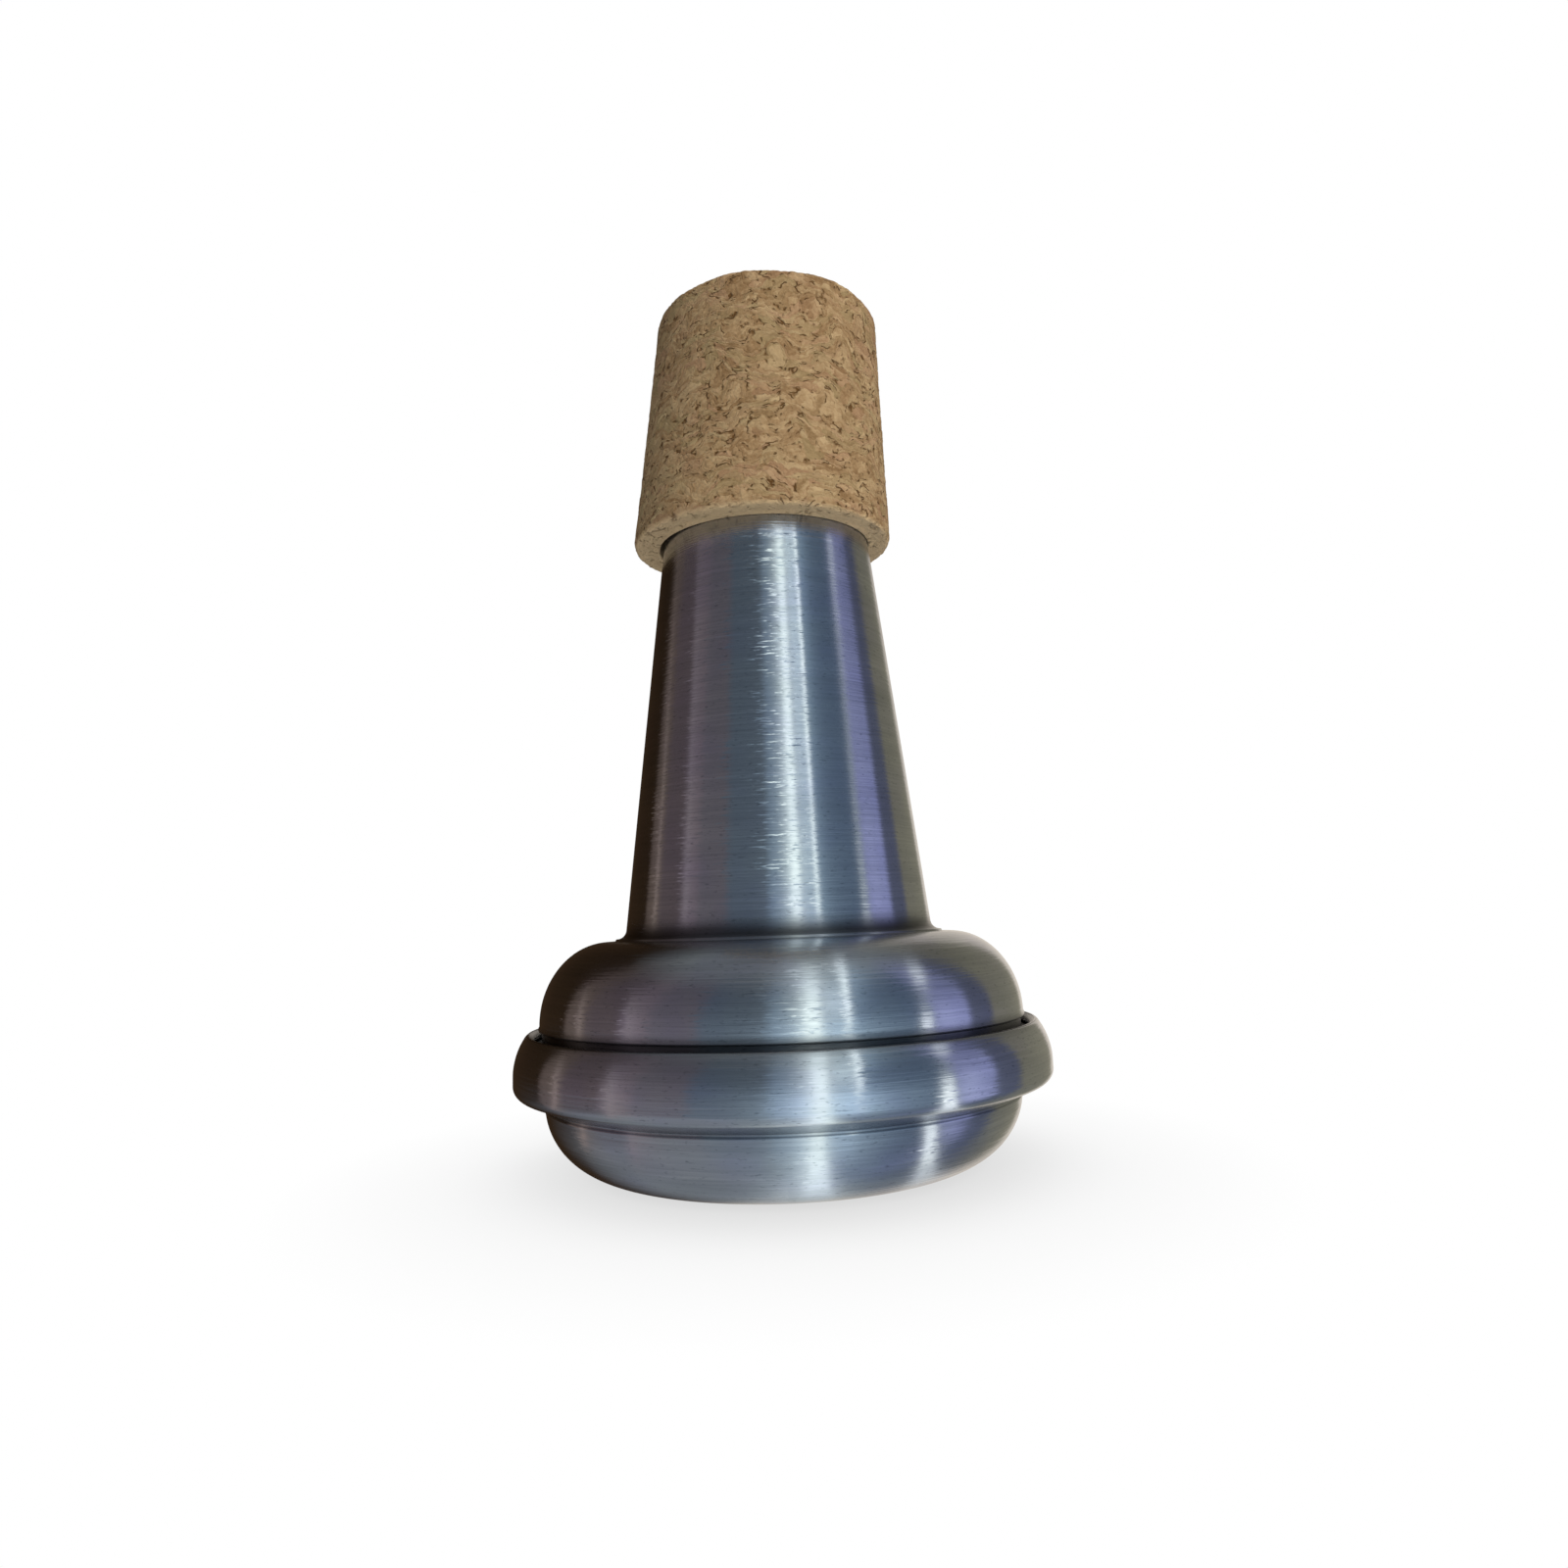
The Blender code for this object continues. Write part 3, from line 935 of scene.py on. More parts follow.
@dataclass
class BaseCap(TurnedPiece):
    """Lower sheet: lip, bead, crease, bowl, standing ring and dished floor. Sizes in mm."""

    name: str = "base_cap_spun"
    node: str = "base_cap"
    slot: Slot = Slot.SPUN
    turns: int = 192
    sharp_angle: Optional[float] = 50.0
    sheet: float = 1.0
    lip_radius: float = 31.05
    lip_top: float = 17.0
    lip_underside: float = 16.0
    lip_fall: float = 0.4
    lip_fall_width: float = 0.7
    lip_round: float = 0.6
    bead_bow: float = 8.0
    bead_middle: Pair = (25.55, 12.2)
    corner_centre: Pair = (32.15, 11.2)
    corner_round: float = 1.4
    under_slope: float = 22.0
    crease_centre: Pair = (30.15, 8.45)
    crease_round: float = 0.4
    notch_cut: float = 0.18
    notch_round: float = 0.22
    notch_edge: float = 0.25
    bowl_height: float = 8.45
    bowl_depth: float = 8.8
    bowl_round: float = 9.2
    foot_outer: float = 20.55
    foot_inner: float = 17.55
    dish_radius: float = 15.55
    dish_rise: float = 1.6
    hole_radius: float = 4.8
    inner_edge_round: float = 0.2
    crest_round: float = 0.1
    underside_round: float = 0.15
    foot_round: float = 0.5
    step: float = 0.6
    chatter: float = 0.2
    pattern_start: float = 300.0

    def notch(self, under: float) -> Array:
        """Outside of the crease: a tight groove, and under it a rounded edge that catches the light.

        Args:
            under: direction of the underside's normal, in radians.

        Returns:
            Its points, downwards.
        """
        outwards = np.array([math.cos(under), math.sin(under)])
        inwards = np.array([math.sin(under), -math.cos(under)])
        touch = np.array(self.crease_centre) - outwards * self.crease_round + inwards * self.notch_cut
        groove_centre = touch + outwards * self.notch_round
        groove = arc(groove_centre, self.notch_round, under + math.pi, 2.5 * QUARTER, 10)
        edge_centre = groove[-1] - self.notch_edge * math.sqrt(0.5)
        return np.vstack([groove, arc(edge_centre, self.notch_edge, QUARTER / 2, -0.07, 8)])

    def section(self) -> Array:
        """Draws the sheet from the lip down the outside and back up the inside.

        Returns:
            The closed section, in mm.
        """
        middle = self.bead_middle
        bow_inner = self.bead_bow - self.sheet
        lip_height = self.lip_top - self.lip_round
        lip_rise = lip_height - middle[1]
        lip_reach = self.bead_bow - self.lip_round
        lip_centre = (middle[0] + math.sqrt(lip_reach ** 2 - lip_rise ** 2), lip_height)
        lip_angle = math.asin(lip_rise / lip_reach)
        lip_curl = arc(lip_centre, self.lip_round, QUARTER, lip_angle, 12)
        inner_edge = (self.lip_radius, self.lip_top - self.lip_fall)
        crest = (self.lip_radius + self.lip_fall_width, self.lip_top)
        underside = (self.lip_radius, self.lip_underside)
        under = math.radians(self.under_slope) - QUARTER
        corner = arc(self.corner_centre, self.corner_round, 0.0, under, 14)
        crease = arc(self.crease_centre, self.crease_round, under + math.pi, math.pi, 9)
        bowl_start = -math.asin((self.bowl_depth - self.bowl_height) / self.bowl_depth)
        bowl_middle = (self.foot_outer, self.bowl_depth)
        bowl = arc(bowl_middle, (self.bowl_round, self.bowl_depth), bowl_start, -QUARTER, 56)[1:]
        foot, dish = (self.foot_inner, 0.0), (self.dish_radius, self.dish_rise)
        hole = (self.hole_radius, self.dish_rise)
        floor = np.vstack([
            rounded(foot, bowl[-1], dish, self.foot_round),
            rounded(dish, foot, hole, self.foot_round),
            [hole],
        ])
        inner_angle = math.asin((self.lip_underside - middle[1]) / bow_inner)
        inner_wall = arc(middle, bow_inner, inner_angle, 0.0, 14)
        inner = np.vstack([inner_wall, offset(np.vstack([corner, crease, bowl, floor]), self.sheet)])
        return refined(np.vstack([
            rounded(inner_edge, underside, crest, self.inner_edge_round),
            rounded(crest, inner_edge, lip_curl[0] + (0.3, 0.0), self.crest_round),
            lip_curl,
            arc(middle, self.bead_bow, lip_angle, 0.0, 28)[1:],
            corner,
            self.notch(under),
            bowl[2:],
            floor,
            inner[::-1],
            rounded(underside, inner_wall[0], inner_edge, self.underside_round),
        ]), self.step, closed=True)

    def carve(self) -> Mapping[str, Union[float, Array]]:
        """Marks painted shade in the seam, on the lip, in the crease and at the foot.

        Returns:
            The marks along, painted shade and chatter. The tool lines start away from those of the neck.
        """
        # Painted shade: darker in the seam gap, on the lip's top, in the crease and where the foot meets the
        # floor.
        grime = crease_shade(
            self.line,
            (self.lip_radius, self.lip_top - self.lip_fall, 0.45, 1.0),
            (self.lip_radius + 0.5, self.lip_top - 0.1, 0.55, 0.55),
            (self.crease_centre[0] - self.crease_round - 0.1, self.crease_centre[1] + 0.1, 0.25, 0.2),
            (self.foot_outer, 0.0, 0.8, 0.6),
        )
        return {"along": self.along + self.pattern_start, "grime": grime, "chatter": self.chatter}


@dataclass
class SeamSeal(TurnedPiece):
    """Rubber ring in the bead. Sizes in mm."""

    name: str = "seam_seal_moulded"
    node: str = "seam_seal"
    slot: Slot = Slot.RUBBER
    turns: int = 144
    inner_radius: float = 30.35
    bottom: float = 12.43
    top: float = 15.7
    bow: float = 6.7
    bow_middle: Pair = (25.55, 12.2)
    edge: float = 0.2

    def section(self) -> Array:
        """Draws the ring straight against the shell and bowed against the bead.

        Returns:
            The closed section, in mm.
        """
        heights = np.linspace(self.top, self.bottom, 12)
        bowed = self.bow_middle[0] + np.sqrt(self.bow ** 2 - (heights - self.bow_middle[1]) ** 2)
        outer = np.stack([bowed, heights], axis=1)
        low, high = (self.inner_radius, self.bottom), (self.inner_radius, self.top)
        return np.vstack([
            rounded(outer[0], high, outer[1], self.edge),
            outer[1:-1],
            rounded(outer[-1], outer[-2], low, self.edge),
            rounded(low, outer[-1], high, self.edge),
            rounded(high, low, outer[0], self.edge),
        ])


@dataclass
class VentTube(TurnedPiece):
    """Tube through the base, with its flange below and its swaged ring above. Sizes in mm."""

    name: str = "vent_tube_drawn"
    node: str = "vent_tube"
    slot: Slot = Slot.DRAWN
    turns: int = 96
    radius: float = 4.5
    bore: float = 3.7
    flange_radius: float = 6.2
    flange_bottom: float = 0.5
    flange_top: float = 1.3
    swage_radius: float = 5.5
    swage_bottom: float = 2.9
    swage_top: float = 3.9
    top: float = 51.9
    step: float = 1.5

    def section(self) -> Array:
        """Closed section in mm, with rounded edges."""
        return refined(rounded_loop(
            (self.bore, self.top, 0.25),
            (self.radius, self.top, 0.25),
            (self.radius, self.swage_top, 0.15),
            (self.swage_radius, (self.swage_top + self.swage_bottom) / 2, 0.3),
            (self.swage_radius, self.swage_bottom, 0.15),
            (self.radius, self.swage_bottom, 0.1),
            (self.radius, self.flange_top, 0.1),
            (self.flange_radius, self.flange_top, 0.2),
            (self.flange_radius, self.flange_bottom, 0.3),
            (self.bore, self.flange_bottom, 0.3),
        ), self.step, closed=True)


@dataclass
class DampingFelt(TurnedPiece):
    """Felt ring on the floor of the chamber. Sizes in mm."""

    name: str = "damping_felt_wool"
    node: str = "damping_felt"
    slot: Slot = Slot.FELT
    turns: int = 160
    inner_radius: float = 6.3
    outer_radius: float = 15.05
    bottom: float = 2.9
    top: float = 4.9
    nap: float = 0.08
    step: float = 0.4

    def section(self) -> Array:
        """Closed section in mm, with soft edges."""
        return refined(rounded_loop(
            (self.inner_radius, self.top, 0.4),
            (self.outer_radius, self.top, 0.4),
            (self.outer_radius, self.bottom, 0.3),
            (self.inner_radius, self.bottom, 0.3),
        ), self.step, closed=True)

    def carve(self) -> Mapping[str, Union[float, Array]]:
        """Roughens the ring inwards with the nap of the wool: noise held to 1.5 and spread from -1 to 0.

        Returns:
            No marks.
        """
        nap = waves(self.angles * 9, self.along * 5.0, seed=12, count=24)
        self.push((np.clip(nap, -1.5, 1.5) / 3.0 - 0.5) * self.nap)
        return {}


@dataclass
class CorkSleeve(TurnedPiece):
    """Cork round the top of the neck, a little skew on it, with granules, seams and pores. Its mouth is cut
    a little lower in front and gapes on the left. Sizes in mm."""

    name: str = "cork_sleeve_ground"
    node: str = "cork_sleeve"
    slot: Slot = Slot.CORK
    turns: int = 368
    cone: Cone = Cone()
    top: float = 111.798
    bottom: float = 80.2
    clearance: float = 0.3
    mouth_clearance: float = 0.08
    mouth_dip: float = 0.6
    dip_height: float = 3.0
    wall_top: float = 4.75
    wall_low: float = 3.25
    edge_top: float = 1.0
    edge_low: float = 0.8
    shift_top: float = 1.15
    shift_low: float = -0.5
    mouth_round: float = 0.15
    bore_round: float = 0.35
    skin: float = 18.0
    skin_depth: float = 0.6
    row_step: float = 0.17
    bore_step: float = 1.6
    gape: float = 0.5
    gape_depth: float = 1.5
    # Height in mm of the lower edge that is painted paler as light from below, and how far it fades.
    trim: float = 0.5
    painted_underlight_fade: float = 0.5
    granule_length: float = 2.1
    granule_height: float = 0.75
    seam_width: float = 0.16
    seam_depth: float = 0.07
    granule_relief: float = 0.07
    length_spread: float = 0.32
    height_spread: float = 0.22
    lean_swing: float = 0.35
    lean_spread: float = 0.3
    warp_rate: float = 3.0
    warp_up: float = 0.35
    warp_across: float = 0.3
    unevenness: float = 0.06
    near: float = 2.6
    pore_count: int = 16
    pore_height: Pair = (0.11, 0.22)
    pore_stretch: Pair = (1.0, 1.8)
    crack_count: int = 60
    crack_height: Pair = (0.1, 0.17)
    crack_length: Pair = (0.5, 1.7)
    crack_lean: float = 0.55
    hole_darkness: Pair = (0.3, 0.9)
    hole_depth: float = 0.2
    seam_mark: float = 0.1
    pore_mark: float = 0.8
    seed: int = 31

    def section(self) -> Array:
        """Draws the sleeve from the top edge down, under and up the bore, before its sideways shift.

        Returns:
            The closed section, in mm.
        """
        bore_top = self.cone.radius(self.top) + self.clearance
        bore_low = self.cone.radius(self.bottom) + self.clearance
        top_middle = (bore_top + self.wall_top - self.edge_top, self.top - self.edge_top)
        low_middle = (bore_low + self.wall_low - self.edge_low, self.bottom + self.edge_low)
        top_edge = arc(top_middle, self.edge_top, QUARTER, 0.0, 9)
        low_edge = arc(low_middle, self.edge_low, 0.0, -QUARTER, 8)
        low_bore, top_bore = (bore_low, self.bottom), (bore_top, self.top)
        mouth = (bore_low - self.clearance + self.mouth_clearance, self.bottom)
        skin = np.vstack([top_edge, low_edge, rounded(mouth, low_edge[-1], top_bore, self.mouth_round)])
        top_face = rounded(top_bore, low_bore, top_edge[0], self.bore_round)
        bore = refined(np.vstack([skin[-1:], top_face[:1]]), self.bore_step)[1:-1]
        last = refined(np.vstack([top_face, top_edge[:1]]), self.row_step * 1.5)[:-1]
        return np.vstack([refined(skin, self.row_step), bore, last])

    def granules(self) -> tuple[Array, Array, Array]:
        """Cells of flat granules over the unrolled surface.

        Every granule has a middle, two half axes and a lean. The distance to it is measured with
        those axes, and a point belongs to the nearest. The seam is where the second nearest is
        hardly further: exp(-((second - first) * half height / seam width) ** 2).

        Returns:
            Tint, height and seam share at each turn and point of the section.
        """
        draw = np.random.default_rng(self.seed)
        width, length = TURN * self.skin, float(self.along[-1])
        count = int(width * length / (self.granule_length * self.granule_height))
        across, up = draw.uniform(0.0, width, count), draw.uniform(-1.0, length + 1.0, count)
        half_long = self.granule_length / 2 * draw.lognormal(0.0, self.length_spread, count)
        half_high = self.granule_height / 2 * draw.lognormal(0.0, self.height_spread, count)
        lean = self.lean_swing * waves(across / self.skin, up, seed=self.seed + 1)
        lean = lean + draw.normal(0.0, self.lean_spread, count)
        tint, rise = draw.uniform(0.0, 1.0, count), draw.uniform(0.0, 1.0, count)
        rate = self.along * self.warp_rate
        warp_up = self.warp_up * waves(self.angles, rate, seed=self.seed + 2, reach=24.0)
        warp_across = self.warp_across * waves(self.angles, rate, seed=self.seed + 3, reach=24.0)
        tints, rises, seams = np.empty((3, self.turns, len(self.along)))
        for row, height in enumerate(self.along):
            near = np.abs(up - height) < self.near
            dx = self.angles * self.skin + warp_across[:, row, None] - across[near]
            dx = (dx + width / 2) % width - width / 2
            dy = height + warp_up[:, row, None] - up[near]
            cos, sin = np.cos(lean[near]), np.sin(lean[near])
            reach = ((dx * cos + dy * sin) / half_long[near]) ** 2
            reach += ((dy * cos - dx * sin) / half_high[near]) ** 2
            first = np.argmin(reach, axis=1)
            best = np.sqrt(np.partition(reach, 1, axis=1)[:, :2])
            gap = (best[:, 1] - best[:, 0]) * self.granule_height / 2
            tints[:, row], rises[:, row] = tint[near][first], rise[near][first]
            seams[:, row] = np.exp(-(gap / self.seam_width) ** 2)
        return tints, rises, seams

    def pores(self) -> Array:
        """Small holes and short cracks, as a depth share of 0 to 1.

        A hole is exp(-(distance / radius) ** 4) and a crack the same with a long and a short axis.

        Returns:
            The share at each turn and point of the section.
        """
        draw = np.random.default_rng(self.seed + 7)
        width = TURN * self.skin
        depth = np.zeros(self.grid.shape[:2])
        for number in range(self.pore_count + self.crack_count):
            crack = number >= self.pore_count
            across, up = draw.uniform(0.0, width), draw.uniform(0.5, self.along[-1])
            high = draw.uniform(*(self.crack_height if crack else self.pore_height))
            wide = draw.uniform(*self.crack_length) if crack else high * draw.uniform(*self.pore_stretch)
            lean, dark = draw.normal(0.0, self.crack_lean), draw.uniform(*self.hole_darkness)
            rows = np.abs(self.along - up) < self.near
            dx = (self.angles * self.skin - across + width / 2) % width - width / 2
            dy = self.along[rows] - up + 0.1 * np.sin(dx * 3.0 + number)
            reach = ((dx * math.cos(lean) + dy * math.sin(lean)) / wide) ** 2
            reach = reach + ((dy * math.cos(lean) - dx * math.sin(lean)) / high) ** 2
            depth[:, rows] = np.maximum(depth[:, rows], dark * np.exp(-reach ** 2))
        return depth

    def carve(self) -> Mapping[str, Union[float, Array]]:
        """Cuts the grain into the skin, shifts the sleeve sideways as the CAD does, and shapes its mouth.

        The shift goes evenly from the low end's to the top's, and from none at the bore to all of it at
        the skin. The gape falls off up the bore as exp(-rise / gape depth), and the dip up the sleeve as
        exp(-rise / dip height).

        Returns:
            The marks tint, seam and trim.
        """
        radius, height = self.line.T
        inside = self.cone.radius(height) + self.clearance
        shell = ramp(radius, inside, self.skin_depth)
        tints, rises, seams = self.granules()
        pores = self.pores()
        cut = seams * self.seam_depth + rises * self.granule_relief + pores * self.hole_depth
        uneven = 1.0 + np.clip(waves(self.angles, self.along, self.seed + 9), -1, 1)
        self.push(-(cut + self.unevenness * uneven) * shell)
        lift = height - self.bottom
        rise = lift / (self.top - self.bottom)
        shift = self.shift_low + (self.shift_top - self.shift_low) * rise
        share = ramp(radius, inside, self.wall_low + (self.wall_top - self.wall_low) * rise)
        side, ahead = np.cos(self.angles), np.sin(self.angles)
        gape = self.gape * np.exp(-lift / self.gape_depth) * (1.0 - share) * np.maximum(-side, 0.0) ** 4
        dip = self.mouth_dip * np.exp(-lift / self.dip_height) * (1.0 - ahead) / 2
        self.grid += np.stack([shift * share + gape * side, gape * ahead, -dip], axis=-1) * MM
        return {
            "tint": tints,
            "seam": np.clip(seams * self.seam_mark * shell + pores * self.pore_mark, 0.0, 1.0),
            # Painted light from below: full on the lowest edge, fading upwards.
            "trim": ramp(-lift, -self.trim, self.painted_underlight_fade),
        }


# Studio


@dataclass(frozen=True)
class Wall:
    """One stretch of wall of the room: its azimuths in degrees from the camera's side towards +X, the
    colour that the metal shows when it mirrors it, and the softness of its borders in degrees."""

    name: str
    start: float
    end: float
    colour: str
    soft: float = 6.0


@dataclass(frozen=True)
class Lamplight:
    """The long smear that grooves round the axis make of one lamp of the room.

    A groove at the azimuth f mirrors the lamp in every direction d whose part along the groove is the
    lamp's own: cos(height) * sin(azimuth - f) stays the same. The smear is that circle of directions.
    Its levels go by the angle round the groove, from the horizon up, and it falls off across itself as
    exp(-distance / fall). All angles are in degrees.
    """

    name: str
    colour: str
    azimuth: float
    levels: tuple[Pair, ...]
    core: float
    fall_left: float
    fall_right: float
    groove_share: float = 0.44

    def share(self, azimuth: Array, elevation: Array) -> Array:
        """Share of the lamp's own colour in each direction, 0 to 1.

        Args:
            azimuth: degrees from the camera's side towards +X.
            elevation: degrees above the horizon.

        Returns:
            The share, with a last axis of one.
        """
        groove = self.azimuth * self.groove_share
        turn, lift = np.radians(azimuth - groove), np.radians(elevation)
        across = np.degrees(np.arcsin(np.clip(np.cos(lift) * np.sin(turn), -1.0, 1.0)))
        around = np.degrees(np.arctan2(np.sin(lift), np.cos(lift) * np.cos(turn)))
        away = across - (self.azimuth - groove)
        fall = np.where(away < 0.0, self.fall_left, self.fall_right)
        level = np.interp(around, *zip(*self.levels), left=0.0, right=0.0)
        return (level * np.exp(-np.maximum(np.abs(away) - self.core, 0.0) / fall))[..., None]


@dataclass(frozen=True)
class RoomGlow(Finish):
    """Light that the room's sphere gives off, from its own attribute."""

    name: str = "studio_cards"

    def shader(self, node: Adder) -> Socket:
        """An even glow.

        Args:
            node: adds a node to the material.

        Returns:
            The shader's output.
        """
        glow = node("Attribute", output="Color", attribute_name="glow")
        return node("Emission", {"Color": glow, "Strength": 1.0})


@dataclass
class Surround:
    """The dim room round the mute, on a distant sphere that its metal alone sees.

    A span is where a change starts and how far it reaches, both in degrees.
    """

    radius: float = 12.0
    metal: str = "#B9BDC2"
    ceiling: str = "#5B6064"
    ceiling_bright: str = "#7D868A"
    ceiling_span: Pair = (45.0, 20.0)
    bright_middle: float = 48.0
    bright_span: Pair = (0.0, 70.0)
    table: str = "#70777F"
    table_right: str = "#434C5C"
    table_span: Pair = (5.0, 28.0)
    table_right_span: Pair = (-30.0, 80.0)
    table_end_span: Pair = (100.0, 50.0)
    table_foot_span: Pair = (-50.0, 20.0)
    table_share: float = 0.8
    dimming: float = 0.4
    dimming_span: Pair = (0.0, 40.0)
    columns: int = 720
    rows: int = 136
    walls: tuple[Wall, ...] = (
        Wall("dark doorway, far left", -174, -117, "#261C13"),
        Wall("brown door frame", -117, -101, "#564B46", 4.0),
        Wall("brown wall", -101, -78, "#50474A"),
        Wall("mauve curtain", -78, -62, "#645B62", 5.0),
        Wall("mauve wall", -62, -38, "#5A575E", 8.0),
        Wall("slate wall", -38, -6, "#4E5965", 8.0),
        Wall("blue panel", -6, 18, "#66798C", 8.0),
        Wall("pale panel", 18, 33, "#7C8E9E", 5.0),
        Wall("slate wall, right", 34, 72, "#4E5E72", 6.0),
        Wall("violet curtain", 72, 94, "#8389B5", 5.0),
        Wall("dusk wall", 94, 112, "#4B5063", 4.0),
        Wall("olive wall, right", 112, 151, "#6C6B60"),
        Wall("pale wall behind", 151, 186, "#A6A29C", 10.0),
    )
    lights: tuple[Lamplight, ...] = (
        Lamplight(
            "edge of the door frame", "#857873", -104.0,
            ((-70, 0.0), (-40, 0.8), (12, 0.7), (30, 0.4), (50, 0.0)), 0.8, 1.5, 2.0,
        ),
        Lamplight(
            "edge of the curtain", "#7F777C", -72.0,
            ((-80, 0.0), (-40, 0.7), (12, 0.7), (30, 0.3), (50, 0.0)), 1.0, 1.5, 5.0,
        ),
        Lamplight(
            "light fold of the violet curtain", "#9BA2C8", 79.0,
            ((-60, 0.0), (-12, 0.85), (5, 0.85), (11, 0.3), (25, 0.1), (40, 0.0)), 2.5, 3.0, 6.0,
        ),
        Lamplight(
            "dusk over the violet curtain", "#4A5166", 75.5,
            ((16, 0.0), (24, 0.25), (32, 0.35), (44, 0.5), (52, 0.5), (70, 0.0)), 8.0, 3.0, 4.0,
        ),
        Lamplight(
            "wide shine of the first lamp on the table", "#BED9EF", 17.0,
            ((-140, 0.0), (-100, 0.1), (-60, 0.2), (-40, 0.4), (-22, 0.6), (-14, 0.95), (-5, 0.95),
             (-1, 0.55), (4, 0.3), (10, 0.12), (18, 0.0)), 9.0, 11.0, 16.0,
        ),
        Lamplight(
            "haze between the lamps", "#D9EDF6", 23.5,
            ((14, 0.0), (22, 0.5), (30, 0.6), (40, 0.45), (50, 0.15), (84, 0.0)), 2.5, 2.0, 2.0,
        ),
        Lamplight(
            "glow of the second lamp on the wall", "#A9C6DA", 34.0,
            ((-20, 0.0), (0, 0.22), (10, 0.12), (22, 0.12), (36, 0.3), (60, 0.35), (80, 0.0)), 1.0, 5.0, 6.0,
        ),
        Lamplight(
            "first lamp", "#EEFEFF", 14.0,
            ((-150, 0.0), (-100, 0.8), (-60, 0.95), (-20, 0.95), (-6, 0.85), (4, 0.95), (20, 1.0), (36, 0.8),
             (56, 0.7), (70, 0.4), (84, 0.0)), 1.8, 4.6, 2.3,
        ),
        Lamplight(
            "second lamp", "#ECFBFF", 29.5,
            ((-20, 0.0), (-8, 0.15), (0, 0.6), (6, 0.8), (15, 0.9), (33, 1.0), (58, 1.0), (70, 0.9),
             (84, 0.3), (100, 0.0)), 0.8, 0.9, 0.5,
        ),
        Lamplight(
            "narrow lamp", "#EEF8FD", 67.5,
            ((-150, 0.0), (-110, 0.4), (-60, 0.75), (-45, 0.95), (-25, 1.0), (-10, 1.0), (3, 1.0), (6, 0.5),
             (10, 0.05), (18, 0.02), (28, 0.07), (42, 0.03), (47, 0.5), (58, 0.5), (70, 0.2), (84, 0.0)),
            1.9, 1.4, 1.4,
        ),
    )

    def glow(self, azimuth: Array, elevation: Array) -> Array:
        """Light of the room in a direction, as a multiple of white.

        Azimuth picks the wall, with a smoothstep at each border. The walls dim towards the ceiling, which
        takes over above them. Below the horizon the table does, darker on the right, except that it ends
        behind the mute. The lamps lie over them all.

        Args:
            azimuth: degrees from the camera's side towards +X, with a last axis of one.
            elevation: degrees above the horizon, with a last axis of one.

        Returns:
            Red, green and blue, each divided by the metal's own colour.
        """
        room = total = 0.0
        for wall in self.walls:
            away = np.abs((azimuth - (wall.start + wall.end) / 2 + 180.0) % 360.0 - 180.0)
            share = np.clip(((wall.end - wall.start) / 2 - away) / wall.soft + 0.5, 0.0, 1.0)
            share = share * share * (3 - 2 * share)
            room = room + share * linear(wall.colour)
            total = total + share
        room = room / np.maximum(total, 1e-6) * (1.0 - self.dimming * ramp(elevation, *self.dimming_span))
        away = np.abs((azimuth - self.bright_middle + 180.0) % 360.0 - 180.0)
        facing = 1.0 - ramp(away, *self.bright_span)
        ceiling = linear(self.ceiling) * (1 - facing) + linear(self.ceiling_bright) * facing
        right = ramp(azimuth, *self.table_right_span)
        table = linear(self.table) * (1 - right) + linear(self.table_right) * right
        up = ramp(elevation, *self.ceiling_span)
        behind = ramp(np.abs(azimuth), *self.table_end_span) * ramp(elevation, *self.table_foot_span)
        down = self.table_share * ramp(-elevation, *self.table_span) * (1.0 - behind)
        room = room * (1 - up - down) + ceiling * up + table * down
        for light in self.lights:
            share = light.share(azimuth[..., 0], elevation[..., 0])
            room = room * (1 - share) + linear(light.colour) * share
        return room / linear(self.metal)

    def build(self) -> bpy.types.Object:
        """Makes the sphere from the zenith down to the nadir, facing inwards, and lights it.

        Returns:
            The sphere.
        """
        azimuth = np.arange(self.columns) * 360.0 / self.columns - 180.0
        azimuth, elevation = np.meshgrid(azimuth, np.linspace(89.8, -89.8, self.rows), indexing="ij")
        turn, lift = np.radians(azimuth), np.radians(elevation)
        points = np.stack([np.cos(lift) * np.sin(turn), -np.cos(lift) * np.cos(turn), np.sin(lift)], axis=-1)
        glow = self.glow(azimuth[..., None], elevation[..., None])
        i, j = np.meshgrid(np.arange(self.columns), np.arange(self.rows - 1), indexing="ij")
        near, far = i * self.rows + j, (i + 1) % self.columns * self.rows + j
        cells = np.stack([near, near + 1, far + 1, far], axis=-1)
        mesh = bpy.data.meshes.new("studio_surround")
        mesh.from_pydata(points.reshape(-1, 3) * self.radius, [], cells.reshape(-1, 4).tolist())
        colours = np.concatenate([glow, np.ones((*glow.shape[:2], 1))], axis=-1).astype(np.float32)
        mesh.attributes.new("glow", "FLOAT_COLOR", "POINT").data.foreach_set("color", colours.ravel())
        material = RoomGlow().build()
        material.cycles.emission_sampling = "NONE"
        mesh.materials.append(material)
        surround = placed("studio_surround", mesh)
        surround.visible_camera = False
        surround.visible_diffuse = False
        surround.visible_shadow = False
        return surround


def white_rays(node: Adder) -> Socket:
    """One for rays from the camera, from gloss and through glass, and nought for the rest.

    Args:
        node: adds a node to the material or the world.

    Returns:
        The share.
    """
    path = node("LightPath").node.outputs
    either = node("Math", {0: path["Is Camera Ray"], 1: path["Is Glossy Ray"]}, operation="MAXIMUM")
    return node("Math", {0: either, 1: path["Is Transmission Ray"]}, operation="MAXIMUM")


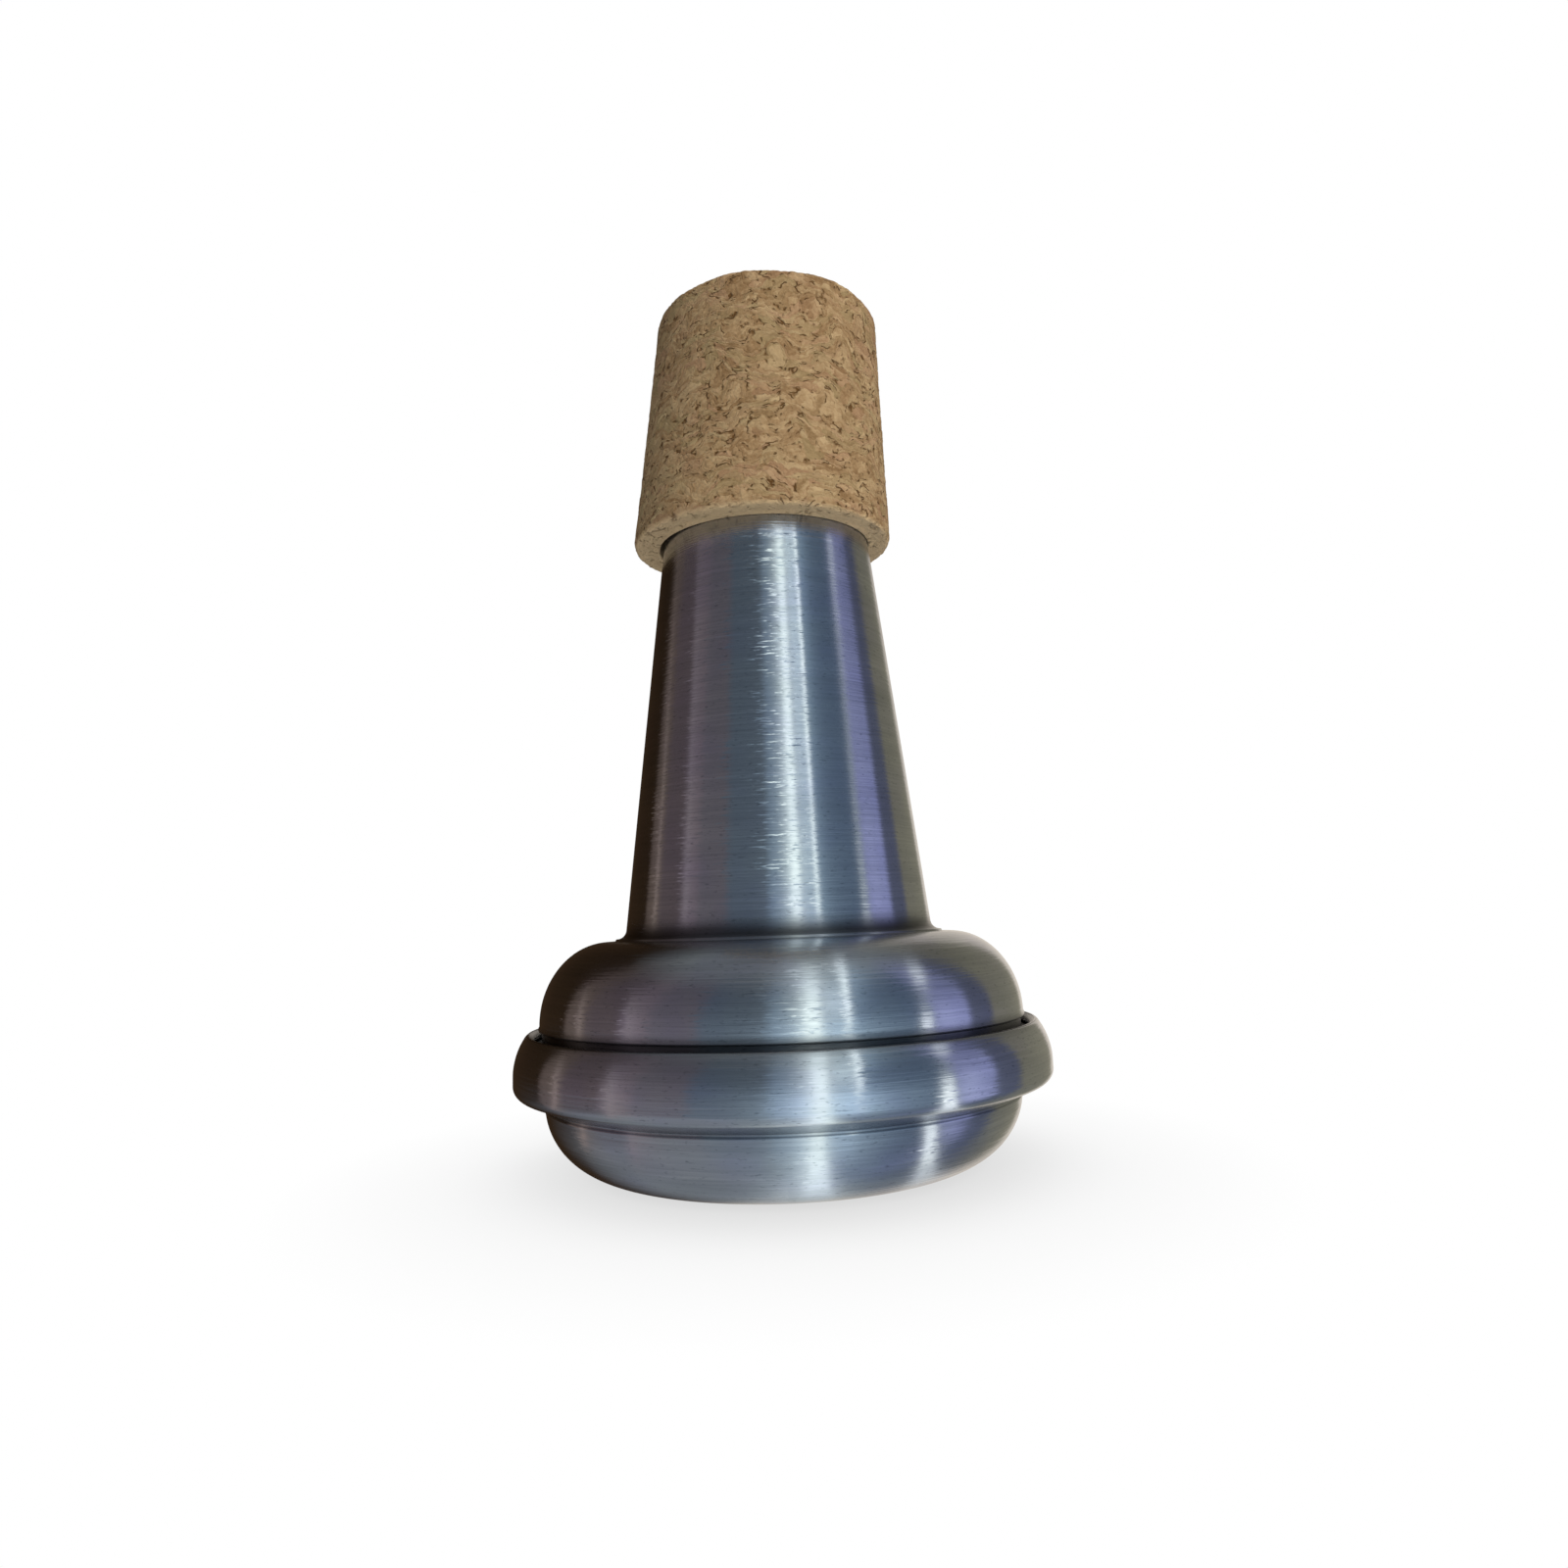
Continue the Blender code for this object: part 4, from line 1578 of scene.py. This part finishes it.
@dataclass(frozen=True)
class WhiteFloor(Finish):
    """A white floor that darkens where the mute shades it, by ambient occlusion."""

    name: str = "white_floor"
    shadow_reach: float = 0.03
    shadow_depth: float = 0.32
    albedo: float = 0.85

    def shader(self, node: Adder) -> Socket:
        """White with the shadow where it is seen or mirrored, and matt for other rays.

        Args:
            node: adds a node to the material.

        Returns:
            The shader's output.
        """
        shade = node("AmbientOcclusion", {"Distance": self.shadow_reach}, "AO", samples=16)
        bright = node("MapRange", {"Value": shade, **limits(0.0, 1.0, 1.0 - self.shadow_depth)})
        white = node("Emission", {"Color": (1.0, 1.0, 1.0, 1.0), "Strength": bright})
        matt = node("BsdfDiffuse", {"Color": (*[self.albedo] * 3, 1.0)})
        return node("MixShader", {0: white_rays(node), 1: matt, 2: white})


@dataclass(frozen=True)
class Lamp:
    """A square soft lamp. Its level is the share of white at which a white card facing it renders."""

    name: str
    place: tuple[float, float, float]
    size: float
    level: float
    colour: str = "#FFFFFF"
    aim: tuple[float, float, float] = (0.0, 0.0, 0.055)

    def build(self) -> bpy.types.Object:
        """Aims the lamp at the middle of the mute, with a power of level * (pi * distance) ** 2.

        Returns:
            The lamp.
        """
        reach = Vector(self.aim) - Vector(self.place)
        light = bpy.data.lights.new(self.name, "AREA")
        light.shape = "SQUARE"
        light.size = self.size
        light.energy = self.level * (math.pi * reach.length) ** 2
        light.color = paint(self.colour)[:3]
        lamp = placed(self.name, light)
        lamp.location = self.place
        lamp.rotation_euler = reach.to_track_quat("-Z", "Y").to_euler()
        lamp.visible_glossy = False
        return lamp


@dataclass
class Studio:
    """Floor, world, lamps, surround and camera. Sizes in metres, angles in radians."""

    floor_size: float = 6.0
    fill: float = 0.11
    lamps: tuple[Lamp, ...] = (
        Lamp("key_lamp", (0.8, -0.85, 0.7), 0.6, 0.68, "#FFF6EA"),
        Lamp("top_lamp", (0.1, 0.0, 1.3), 0.6, 0.38),
        Lamp("front_lamp", (0.15, -1.2, 0.3), 0.5, 0.3),
        Lamp("back_lamp", (-0.35, 1.1, 0.6), 0.6, 0.3),
    )
    sensor_mm: float = 36.0
    lens_mm: float = 24.075
    nearest: float = 0.001
    farthest: float = 50.0
    camera_place: tuple[float, float, float] = (0.0, -0.1378, 0.02953)
    pitch: float = 0.1317
    roll: float = -0.0350
    yaw: float = 0.0098

    def build_floor(self) -> bpy.types.Object:
        """Lays a white square under the mute.

        Returns:
            The floor.
        """
        half = self.floor_size / 2
        mesh = bpy.data.meshes.new("studio_floor")
        corners = [(-half, -half, 0.0), (half, -half, 0.0), (half, half, 0.0), (-half, half, 0.0)]
        mesh.from_pydata(corners, [], [(0, 1, 2, 3)])
        mesh.materials.append(WhiteFloor().build())
        floor = placed("studio_floor", mesh)
        floor.visible_glossy = False
        return floor

    def build_world(self) -> bpy.types.World:
        """Makes the world white where it is seen or mirrored, and a dim even fill for matt surfaces.

        Returns:
            The world.
        """
        world = bpy.data.worlds.new("studio_world")
        world.use_nodes = True
        world.node_tree.nodes.clear()
        node = partial(add, world.node_tree)
        strength = node("MapRange", {"Value": white_rays(node), **limits(0.0, 1.0, self.fill)})
        background = node("Background", {"Color": (1.0, 1.0, 1.0, 1.0), "Strength": strength})
        node("OutputWorld", {"Surface": background})
        bpy.context.scene.world = world
        return world

    def build_camera(self) -> bpy.types.Object:
        """Sets the photograph's view: a wide lens close in front, a little above the bead, tipped up.

        Returns:
            The camera.
        """
        level = math.cos(self.pitch)
        forward = Vector((math.sin(self.yaw) * level, math.cos(self.yaw) * level, math.sin(self.pitch)))
        right = Vector((math.cos(self.yaw), -math.sin(self.yaw), 0.0))
        up = right.cross(forward)
        x_axis = right * math.cos(self.roll) + up * math.sin(self.roll)
        y_axis = up * math.cos(self.roll) - right * math.sin(self.roll)
        lens = bpy.data.cameras.new("photo_camera")
        lens.sensor_width = self.sensor_mm
        lens.lens = self.lens_mm
        lens.clip_start = self.nearest
        lens.clip_end = self.farthest
        camera = placed("photo_camera", lens)
        turn = Matrix((x_axis, y_axis, -forward)).transposed()
        camera.matrix_world = Matrix.Translation(self.camera_place) @ turn.to_4x4()
        bpy.context.scene.camera = camera
        return camera

    def build(self) -> None:
        """Sets up the whole studio."""
        self.build_camera()
        self.build_floor()
        self.build_world()
        for lamp in self.lamps:
            lamp.build()
        Surround().build()
        bpy.context.scene.view_settings.view_transform = "Standard"


def main() -> None:
    """Builds the studio and every piece, and says what was made."""
    logging.basicConfig(level=logging.INFO, format="%(name)s: %(message)s")
    Studio().build()
    spun = SpunAluminium().build()
    BaseCap().build(spun)
    NeckShell().build(spun)
    SeamSeal().build(BlackRubber().build())
    VentTube().build(DrawnAluminium().build())
    DampingFelt().build(WoolFelt().build())
    CorkSleeve().build(AgglomeratedCork().build())


if __name__ == "__main__":
    main()
